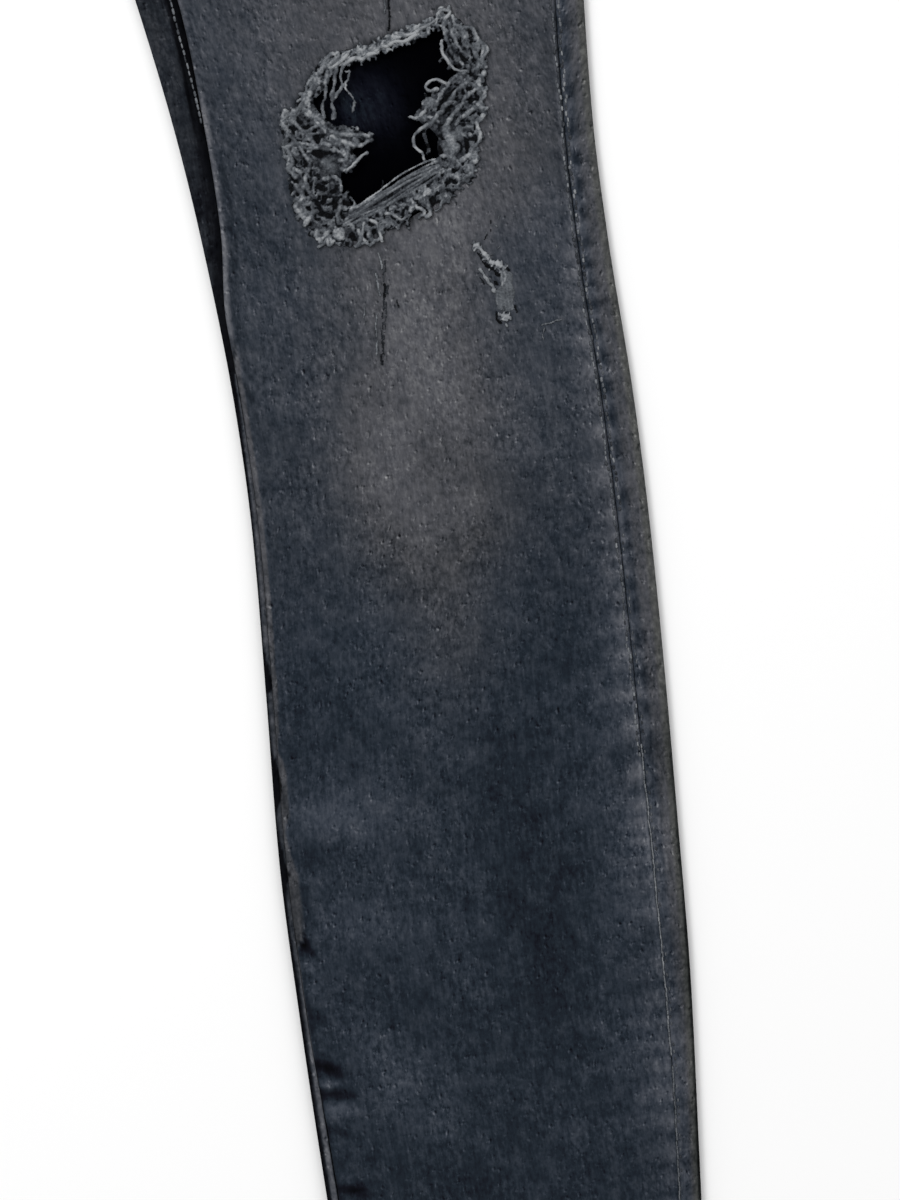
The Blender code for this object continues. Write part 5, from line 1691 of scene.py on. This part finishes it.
def make_button(material):
    """The waist button, turned metal: a raised rim round a dished face with a low dome."""
    box_low, box_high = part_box("button")
    centre = [(a + b) / 2 for a, b in zip(box_low, box_high)]
    tall = box_high[2] - box_low[2]
    turn = np.linspace(0, 2 * np.pi, 64, endpoint=False)
    profile = np.array(BUTTON_PROFILE)
    ring = profile[1:-1]
    x = centre[0] + ring[:, :1] * MM * np.cos(turn)
    y = centre[1] + ring[:, :1] * MM * np.sin(turn)
    z = np.broadcast_to(box_low[2] + ring[:, 1:] * tall, x.shape)
    verts = points(x, y, z).reshape(-1, 3).tolist()
    verts += [(centre[0], centre[1], box_low[2] + share * tall) for share in (profile[0, 1], profile[-1, 1])]
    index = np.arange(x.size).reshape(x.shape)
    after = np.roll(index, -1, axis=1)
    faces = np.stack([index[:-1], after[:-1], after[1:], index[1:]], axis=-1).reshape(-1, 4).tolist()
    faces += [(b, a, x.size) for a, b in zip(index[0], after[0])]
    faces += [(a, b, x.size + 1) for a, b in zip(index[-1], after[-1])]
    mesh = bpy.data.meshes.new("button_metal")
    mesh.from_pydata(verts, [], faces)
    return finish_mesh("button_metal", mesh, material)


# ---------------------------------------------------------------- stitching


STITCH_RADIUS = 0.00040
SEWN_LIFT = 0.0001  # of the middle of a stitch from the cloth's face
FLY_STITCH_X = 0.034
FLY_TURN_DOWN = -0.108
# The buttonhole: its place from the middle of the waistband, half its length and width, and the reach of its
# stitches
BUTTONHOLE = (-0.0085, 0)
BUTTONHOLE_HALF = (0.0078, 0.0012)
BUTTONHOLE_STITCH = (0.0020, 0.0018)


def stitch_line(line, rng, stitch):
    """The stitches of one line of sewing: short paths along it, dipping in at their ends."""
    line = np.asarray(line, float)
    far = np.concatenate([[0], np.cumsum(np.linalg.norm(np.diff(line, axis=0), axis=1))])
    shares = np.array([-0.5, -0.30, 0.30, 0.5])
    made = []
    for middle in np.arange(stitch.pitch / 2, far[-1], stitch.pitch):
        at = middle + rng.normal(0, 0.05 * stitch.pitch) + stitch.length * rng.uniform(0.85, 1.1) * shares
        path = np.stack([np.interp(at, far, line[:, k]) for k in range(3)], axis=1)
        path[:, :2] += rng.normal(0, stitch.stray, 2)
        path[[0, -1], 2] -= stitch.sink
        if rng.uniform() >= stitch.skip:
            made.append(path)
    return made


def sewing(name, lines, material, mirrored=False):
    """Lines of stitches as one piece. Each line is its points and its kind of stitch."""
    rng = np.random.default_rng(len(lines) + 60)
    taper = np.array([0.35, 1, 1, 0.35])
    paths, radii, tones = [], [], []
    for line, stitch in lines:
        for path in stitch_line(line, rng, stitch):
            if mirrored:
                path[:, 0] *= -1
            paths.append(path)
            radii.append(taper * STITCH_RADIUS * stitch.thick * rng.uniform(1 - stitch.worn, 1 + stitch.worn))
            tones.append(stitch.tone * rng.uniform(1 - 1.5 * stitch.worn, 1 + stitch.worn))
    return tubes(name, paths, radii, tones, 5, material)


def face(down, across, seed, lift=SEWN_LIFT):
    """Points on the upper side of a front."""
    down, across = np.broadcast_arrays(np.asarray(down, float), np.asarray(across, float))
    z = front_height(down, across) + front_relief(down, across, seed) + SKIN + lift
    return placed(down, across, z)


def tack(x, y, z, wide, tall, turn=0.0):
    """A bartack: close stitches side by side, as lines of one stitch each."""
    made = []
    for step in np.linspace(-0.5, 0.5, max(4, int(tall / 0.0005))):
        ends = np.array([(-wide / 2, step * tall), (wide / 2, step * tall)])
        turned = ends @ np.array([[math.cos(turn), math.sin(turn)], [-math.sin(turn), math.cos(turn)]])
        line = [(x + a, y + b, z) for a, b in turned]
        made.append((line, Stitch(pitch=wide * 1.01, length=wide)))
    return made


def corner_tack(down, across, seed, turn=0.0):
    return tack(*face(down, across, seed), 0.0016, 0.008, turn)


def fly_sewing(seed):
    """The fly's double row, the row beside its edge, and the rows below it down to the inseam."""
    lines = []
    for away in (0.0, 0.0062):
        x = FLY_STITCH_X - away
        down = np.linspace(front_waist_down(FLY_STITCH_X) + 0.001, FLY_TURN_DOWN, 30)
        turn = np.linspace(0, np.pi / 2, 16)[1:]
        down = np.concatenate([down, FLY_TURN_DOWN + (0.030 - away) * np.sin(turn)])
        x = np.concatenate([np.full(30, x), x * np.cos(turn)])
        path = face(down, x, seed)
        path[:, 2] += lap_raise(down, x)
        lines.append((path, Stitch()))
    down = np.linspace(front_waist_down(0.0) + 0.001, FLY_END_DOWN - 0.004, 40)
    path = face(down, 0.0006, seed)
    path[:, 0] -= 0.0070
    path[:, 2] += lap_raise(down, 0.0)
    lines.append((path, Stitch()))
    for away in (0.0018, 0.0075):
        down = np.linspace(FLY_END_DOWN + 0.004, CROTCH_DOWN - 0.002, 16)
        lines.append((face(down, inseam_across(down) + away, seed), Stitch()))
    return lines + corner_tack(-0.080, 0.006, seed, math.pi / 4)


def front_sewing(side, material):
    """Stitches on a front: outseam, pocket opening and, on the left one, the fly.

    The outseam has worn beads of yarn to below the knee, and a thin light cord from there down.
    """
    seed = SEEDS[side]
    end = HEM_DOWN - HEM_HEIGHT
    down = np.arange(-0.128, end, 0.004)
    beads = Stitch(tone=1.04, pitch=0.0026, length=0.0024, thick=1.45, worn=0.30, stray=0.0003)
    path = face(down, outseam_across(down) - 0.0015 + seam_waver(down), seed)
    lines = [(path[down < 0.48], beads)]
    down = np.arange(0.47, end, 0.004)
    path = face(down, outseam_across(down) - 0.0001 + 0.6 * seam_waver(down), seed, 3 * SEWN_LIFT)
    cord = Stitch(pitch=0.0021, length=0.0027, thick=1.05, worn=0.12, stray=0.0001)
    for part, tone in ((down < 0.62, 1.20), (down >= 0.62, 0.94)):
        lines.append((path[part], cord._replace(tone=tone)))
    seam = outseam_across(WAIST_SEAM_DOWN)
    for away in (0.0018, 0.0080):
        angle = np.linspace(0.03, np.pi / 2 - 0.01, 50)
        x = seam - (SCOOP_WIDTH + away) * np.cos(angle)
        down = front_waist_down(x) + (SCOOP_DEPTH + away) * np.sin(angle)
        across = outseam_across(down) - HALF_GAP - (SCOOP_WIDTH + away) * np.cos(angle)
        lines.append((face(down, across, seed), Stitch()))
    inner_end = seam - SCOOP_WIDTH - 0.004
    lines += corner_tack(front_waist_down(inner_end) + 0.004, inner_end - 0.001, seed)
    outer_end = outseam_across(-0.13) - 0.005
    lines += corner_tack(WAIST_SEAM_DOWN + SCOOP_DEPTH + 0.006, outer_end, seed, math.pi / 2)
    if side == "left":
        lines += fly_sewing(seed)
    return sewing(f"front_{side}_stitches", lines, material, side == "right")


def back_sewing(side, material):
    """Topstitching of a back where it is turned on to the front layer."""
    seed = SEEDS[side]
    down = np.arange(-0.150, HEM_DOWN - HEM_HEIGHT, 0.004)
    out = 0.0014 + seam_waver(down)
    across = outseam_across(down) + out
    z = front_height(down, across) + strip_relief(down, out, seed) + SKIN + SEWN_LIFT
    path = placed(down, across, z)
    upper = down < 0.36
    beads = Stitch(tone=1.03, pitch=0.0028, length=0.0023, thick=1.50, worn=0.33, stray=0.0003)
    faint = Stitch(tone=0.85, length=0.0018, skip=0.45, worn=0.25)
    down = np.arange(-0.016, 0.174, 0.004)
    across = inseam_across(down) - 0.0033 - 0.0004 * np.sin(down * 60) + 0.0020 * ease(down, 0.12, 0.05)
    inner = placed(down, across, front_height(down, across) + SKIN + SEWN_LIFT)
    thick = Stitch(tone=1.00, length=0.0030, thick=1.4, worn=0.25)
    lines = [(path[upper], beads), (path[~upper], faint), (inner, thick)]
    return sewing(f"back_{side}_stitches", lines, material, side == "right")


def band_sewing(side, material):
    """The waistband's topstitching, and the buttonhole in its left end."""
    mirrored = side == "right"
    face_z = DOUBLE_CLOTH / 2 + SEWN_LIFT
    end = BAND_UNDERLAP if mirrored else BAND_LAP
    x = np.linspace(-end + 0.0015, outseam_across(WAIST_SEAM_DOWN), 90)
    raised = 0 * x if mirrored else band_raise(x)
    lines = []
    for height in (0.0016, BAND_HEIGHT - 0.0014):
        lines.append((band_place(x, front_waist_down(x) - height, "front", raised + face_z), Stitch()))
    height = np.linspace(0.002, BAND_HEIGHT - 0.002, 12)
    x = np.full(12, -end + 0.0016)
    lines.append((band_place(x, front_waist_down(x) - height, "front", raised[0] + face_z), Stitch()))
    if not mirrored:
        middle = np.full(1, front_waist_down(0.0) - BAND_HEIGHT / 2)
        spot = band_place(np.zeros(1), middle, "front", BAND_LAP_RISE + face_z + SEWN_LIFT)[0]
        for turn in np.linspace(0, 2 * np.pi, 44, endpoint=False):
            out = np.array([math.cos(turn), math.sin(turn)])
            near = spot[:2] + BUTTONHOLE + out * BUTTONHOLE_HALF
            line = [(*near, spot[2]), (*(near + out * BUTTONHOLE_STITCH), spot[2])]
            lines.append((line, Stitch(pitch=0.0021, length=0.0020)))
    return sewing(f"waistband_{side}_stitches", lines, material, mirrored)


def hem_sewing(side, material):
    down = HEM_DOWN - HEM_HEIGHT + 0.0030
    across = np.linspace(0.004, width(down) - 0.004, 60)
    z = back_height(down) + read(LEVELS, "lift", down) + (DOUBLE_CLOTH - CLOTH) / 2 + DOUBLE_CLOTH / 2
    path = placed(np.full(60, down), across, z)
    return sewing(f"hem_{side}_stitches", [(path, Stitch())], material, side == "right")


def loop_sewing(name, x, layer, material):
    away = 1 if layer == "front" else -1
    lines = []
    for aside in (-0.0038, 0.0038):
        down, z = loop_middle(x, layer, np.linspace(0.02, 0.98, 20), LOOP_CLOTH / 2)
        z = np.maximum(z, STITCH_RADIUS * 1.15)
        lines.append((points(x + aside, FORK_Y - down, z), Stitch(sink=0.00015 * away)))
    for end in (0.05, 0.95):
        down, z = loop_middle(x, layer, np.array(end), LOOP_CLOTH / 2)
        level = max(float(z), STITCH_RADIUS * 1.15)
        lines += tack(x, FORK_Y - float(down), level, 0.0095, 0.0022)
    return sewing(f"{name}_stitches", lines, material)


# ---------------------------------------------------------------- the small tear and the knee's crease


def on_leg(u, v, z):
    """A place on the left leg's upper side: millimetres across and up from the fork, and above the cloth."""
    x, y = u * MM, FORK_Y + v * MM
    down = FORK_Y - y
    for _ in range(3):
        across = x - read(OUTLINE, "inner", down)
        down = FORK_Y - y + read(OUTLINE, "lean", down) * (across - width(down) / 2)
    level = front_height(down, across) + front_relief(down, across, SEEDS["left"]) + SKIN
    return points(x, y, level + z * MM)


# The small tear, in millimetres across and up from the fork, with dark strands of painted shadow beside its
# threads
TEAR_SPACING = 0.25
FUZZ_PER_MM = 2.2
FUZZY = 1.3  # the tone above which a thread of the tear has fuzz
TEAR = strands(
    (1.4, 0.85, 0.4, (200.6, -228.9), (202.1, -227.6), (204.1, -231), (205.9, -232.9), (207.6, -234.6)),
    (1.45, 0.85, 0.45, (207.2, -234.2), (208.7, -236.2), (210.4, -236.6), (212.9, -237.9), (215.2, -238.6)),
    (1.5, 1.2, 0.5, (201.8, -228.4), (202.6, -228)),
    (1.55, 1.15, 0.55, (205.6, -232.2), (206.6, -233.4)),
    (1.5, 1.15, 0.5, (208.6, -235.4), (209.6, -236.4)),
    (1.55, 1.25, 0.6, (211.6, -236.6), (213.2, -237.8)),
    (1.2, 0.8, 0.4, (213.4, -240.4), (213.8, -243.6), (214, -246.8)),
    (1.2, 1.1, 0.45, (203.5, -239.7), (205.4, -242), (207.3, -245.3), (209.7, -247.7), (210.4, -250)),
    (1.15, 0.7, 0.3, (214.2, -239.6), (215.4, -242), (215, -246)),
    (1.35, 1.05, 0.5, (212.9, -260.6), (214.6, -261.4), (216.6, -261.6)),
    (1.5, 0.95, 0.55, (214.2, -262.8), (216.2, -263.4)),
    (1.25, 0.8, 0.45, (215.8, -264.9), (216.2, -265.8)),
    (1.1, 0.6, 0.4, (217.6, -261.8), (217.9, -263.2)),
    (0.06, 0.6, 0.2, (208.9, -216.6), (208.7, -217.8)),
    (0.06, 0.65, 0.2, (208.6, -220), (208.3, -221.2)),
    (0.06, 0.6, 0.2, (206.6, -223.4), (205.9, -225.4)),
    (1.15, 0.55, 0.25, (210.2, -218.4), (211.4, -219.2)),
    (0.9, 0.5, 0.2, (212.4, -214.6), (212, -216.4)),
    (1.1, 0.45, 0.2, (212, -229.4), (214.8, -228)),
    (1, 0.5, 0.15, (206.2, -221.8), (206.6, -224.6)),
    (1, 0.55, 0.2, (232.2, -265.6), (237, -264.5), (242.1, -262.7)),
    (0.95, 0.5, 0.2, (233.6, -267), (233, -270.5), (233.6, -274)),
    (1.05, 0.6, 0.2, (239.2, -227.5), (239.6, -229)),
    # painted shadows: dark strands beside and under the tear's threads, its bared patch and its knot
    (0.12, 0.6, 0.2, (202.2, -231.3), (204.2, -234.8), (206.4, -237.2)),
    (0.04, 1.15, 0.3, (205.8, -236.6), (207.6, -238.2), (209.2, -239.4)),
    (0.04, 1.1, 0.3, (210.2, -240.4), (212, -241.8)),
    (0.05, 0.8, 0.25, (215.6, -238.6), (217.2, -239.9)),
    (0.05, 0.95, 0.3, (210.8, -245.2), (211.4, -246.6)),
    (0.2, 0.6, 0.1, (203.4, -243), (205.6, -246.4)),
    (0.06, 0.75, 0.2, (211.2, -259.8), (211.6, -262.6), (213.2, -264.8)),
    (0.14, 0.7, 0.2, (219.8, -256.4), (220.8, -259.4)),
    (0.1, 0.6, 0.5, (214.9, -259.9), (215.9, -260)),
)
# Where its lengthwise yarns lie bare
BARED = (
    (212.2, -241), (214.2, -238.8), (216.8, -239.2), (219, -241.5), (218.8, -246), (220.2, -250),
    (219.4, -254.5), (219.9, -258.5), (216, -259.6), (211.8, -258.4), (210.4, -253.5), (211.2, -249),
    (213, -246.5),
)
# The crease below the rip, light on its left side, worn and with painted highlight, and dark with painted
# shade on its right, and the line above the rip, dark with painted shade
CREASE = strands(
    (1.2, 0.7, 0.16, (155.6, -232), (156.6, -235), (157.4, -238.6)),
    (1.1, 0.75, 0.16, (154.6, -241), (155.4, -245), (156.4, -251.5)),
    (1.1, 0.65, 0.14, (155.1, -260), (154.6, -265), (154.8, -271)),
    (1.15, 0.6, 0.14, (155, -273), (154.9, -280)),
    (1, 0.6, 0.12, (149.7, -256), (149, -262.4)),
    (0.45, 0.6, 0.04, (159, -235.4), (158.8, -240.5)),
    (0.52, 0.7, 0.04, (157.9, -240), (157.8, -245)),
    (0.08, 0.85, 0.06, (158.4, -246.4), (158.7, -249.5), (158.4, -252.2)),
    (0.48, 0.65, 0.04, (159.9, -247), (160, -251)),
    (0.46, 0.7, 0.04, (158.2, -253), (158, -257.5)),
    (0.52, 0.6, 0.04, (159.4, -255), (159.3, -260)),
    (0.32, 0.6, 0.04, (157.9, -258.5), (157.8, -262)),
    (0.5, 0.7, 0.04, (158.9, -261.5), (158.7, -267)),
    (0.4, 0.6, 0.04, (157.6, -264), (157.5, -268.5)),
    (0.5, 0.65, 0.04, (158.5, -268.5), (158.3, -272)),
    (0.34, 0.6, 0.05, (157.4, -270), (157.3, -274.5)),
    (0.3, 0.75, 0.05, (158, -274), (157.7, -279)),
    (0.2, 0.8, 0.06, (157.2, -280), (157.4, -284)),
    (0.45, 0.55, 0.04, (158.6, -279), (158.4, -282.5)),
    (0.2, 0.65, 0.04, (158, -213), (157.2, -205), (157.8, -198)),
    (0.1, 0.8, 0.05, (161.2, -104), (160.8, -110), (160.4, -116), (161, -121), (160.5, -127)),
    (0.95, 0.55, 0.1, (158.8, -108), (158.6, -114), (158.9, -119)),
    (0.25, 0.7, 0.04, (164.6, -254), (165, -257)),
)


def bared_yarns(u, v):
    """Where the tear's lengthwise yarns lie bare, and their tone."""
    lean = u + 0.10 * (v + 250)
    return inside_of(BARED, u, v), 0.90 + 0.05 * np.sin(2 * np.pi * lean / 1.7) + 0.12 * wobble(u, v, 2.4, 12)


def make_tear(material):
    rng = np.random.default_rng(21)
    strokes = []
    for strand in TEAR + CREASE:
        path = curve_through(strand.path, TEAR_SPACING)
        steps = np.arange(len(path)) * TEAR_SPACING
        path = path + 0.35 * np.stack([wobble(steps, rng.uniform(0, 60), 1.3, k) for k in (4, 5)], 1)
        swell = 1 + 0.35 * wobble(steps, rng.uniform(0, 60), 1.1, 3)
        shade = strand.tone * (1 + 0.18 * wobble(steps, rng.uniform(0, 60), 1.0, 4))
        flat = strand.height - 0.45 * strand.radius * swell
        strokes.append(Stroke(path, strand.radius * swell, flat, shade))
        fuzz = int(len(path) * TEAR_SPACING * FUZZ_PER_MM) if strand.tone > FUZZY else 0
        for _ in range(fuzz):
            start = path[rng.integers(len(path))] + rng.normal(0, 0.8, 2)
            curl = curl_path(rng, start, any_heading(rng), rng.uniform(1.2, 2.6), 0.6, TEAR_SPACING)
            lift = strand.height - 0.5 + rng.uniform(0, 0.5)
            strokes.append(Stroke(curl, 0.55, lift, strand.tone * rng.uniform(0.5, 1.1)))
    patch = Mat(corner=(147, -286), size=(97, 185), cell=0.42, floor=-0.25, base=0.40, under=bared_yarns)
    patch.lay(strokes)
    return patch.build("knee_tear", on_leg, material, 0.85)


# ---------------------------------------------------------------- the stage


LIT = (0.15, -0.1, 0.0)  # what the lamps point at


def make_stage():
    """A white floor and sky, with a strong lamp from the upper left and a weak one from the lower right."""
    mesh = bpy.data.meshes.new("floor")
    mesh.from_pydata([(-6, -6, 0), (6, -6, 0), (6, 6, 0), (-6, 6, 0)], [], [(0, 1, 2, 3)])
    graph = Graph("floor_paper")
    graph.surface(Base_Color=(0.93, 0.93, 0.93, 1), Roughness=0.9, Specular_IOR_Level=0.1)
    floor = finish_mesh("floor", mesh, graph.material)
    floor.location.z = -0.0002
    world = bpy.data.worlds.new("studio")
    world.use_nodes = True
    sky = world.node_tree.nodes["Background"]
    sky.inputs["Color"].default_value = (1, 1, 1, 1)
    sky.inputs["Strength"].default_value = 0.62
    bpy.context.scene.world = world
    for name, place, size, power in (
        ("key", (-1.1, 1.0, 2.0), 1.2, 36),
        ("fill", (1.8, -0.6, 1.8), 1.8, 10),
    ):
        light = bpy.data.lights.new(name, "AREA")
        light.size = size
        light.energy = power
        lamp = bpy.data.objects.new(name, light)
        lamp.location = place
        aim = Vector(LIT) - Vector(place)
        lamp.rotation_mode = "QUATERNION"
        lamp.rotation_quaternion = aim.to_track_quat("-Z", "Y")
        bpy.context.scene.collection.objects.link(lamp)


# How tall the camera's frame is at the front layer, and the middle of what it shows
FRAMED = 0.564
FRAMED_X = 0.1894
FRAMED_DOWN = 0.3948
FRAMED_Z = 0.004


def make_camera():
    """Straight down on the wearer's left leg, from the lower thigh to the shin."""
    data = bpy.data.cameras.new("camera")
    data.lens = 85
    data.sensor_width = 36
    camera = bpy.data.objects.new("camera", data)
    away = FRAMED * data.lens / data.sensor_width
    camera.location = (FRAMED_X, FORK_Y - FRAMED_DOWN, away + FRAMED_Z)
    bpy.context.scene.collection.objects.link(camera)
    bpy.context.scene.camera = camera
    bpy.context.scene.view_settings.view_transform = "Standard"


CLOTHS = {
    "front": make_front,
    "back": make_back,
    "yoke": make_yoke,
    "pocket_facing": make_facing,
    "waistband": make_band,
    "hem": make_hem,
    "back_pocket": make_back_pocket,
}
SEAMED = {"front": front_sewing, "back": back_sewing, "waistband": band_sewing, "hem": hem_sewing}


def main():
    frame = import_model()
    cloth_face = denim("denim_cloth")
    back_cloth = denim("denim_back", specular=0.0, sheen=0.0, underside=0.45)
    loose_thread = thread("loose_thread")
    sewing_thread = thread("sewing_thread")
    dull_metal = metal("antique_metal", 0.30)
    pieces = []
    for side in ("left", "right"):
        for node, make in CLOTHS.items():
            material = back_cloth if node == "back" else cloth_face
            pieces.append((f"{node}_{side}", "denim", make(side, material)))
        for node, sew in SEAMED.items():
            pieces.append((f"{node}_{side}", "threads", sew(side, sewing_thread)))
    for name, x, layer in LOOPS:
        pieces.append((name, "denim", make_loop(name, x, layer, cloth_face)))
        pieces.append((name, "threads", loop_sewing(name, x, layer, sewing_thread)))
    pieces.append(("button", "metal", make_button(dull_metal)))
    for node, make in (("knee_threads", make_fray), ("knee_threads", make_loose), ("front_left", make_tear)):
        pieces.append((node, "threads", make(loose_thread)))
    for node, slot, piece in pieces:
        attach(piece, "root")
        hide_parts(node)
    frame["nodes"]["zip"].material_slots[0].material = dull_metal
    make_stage()
    make_camera()


main()
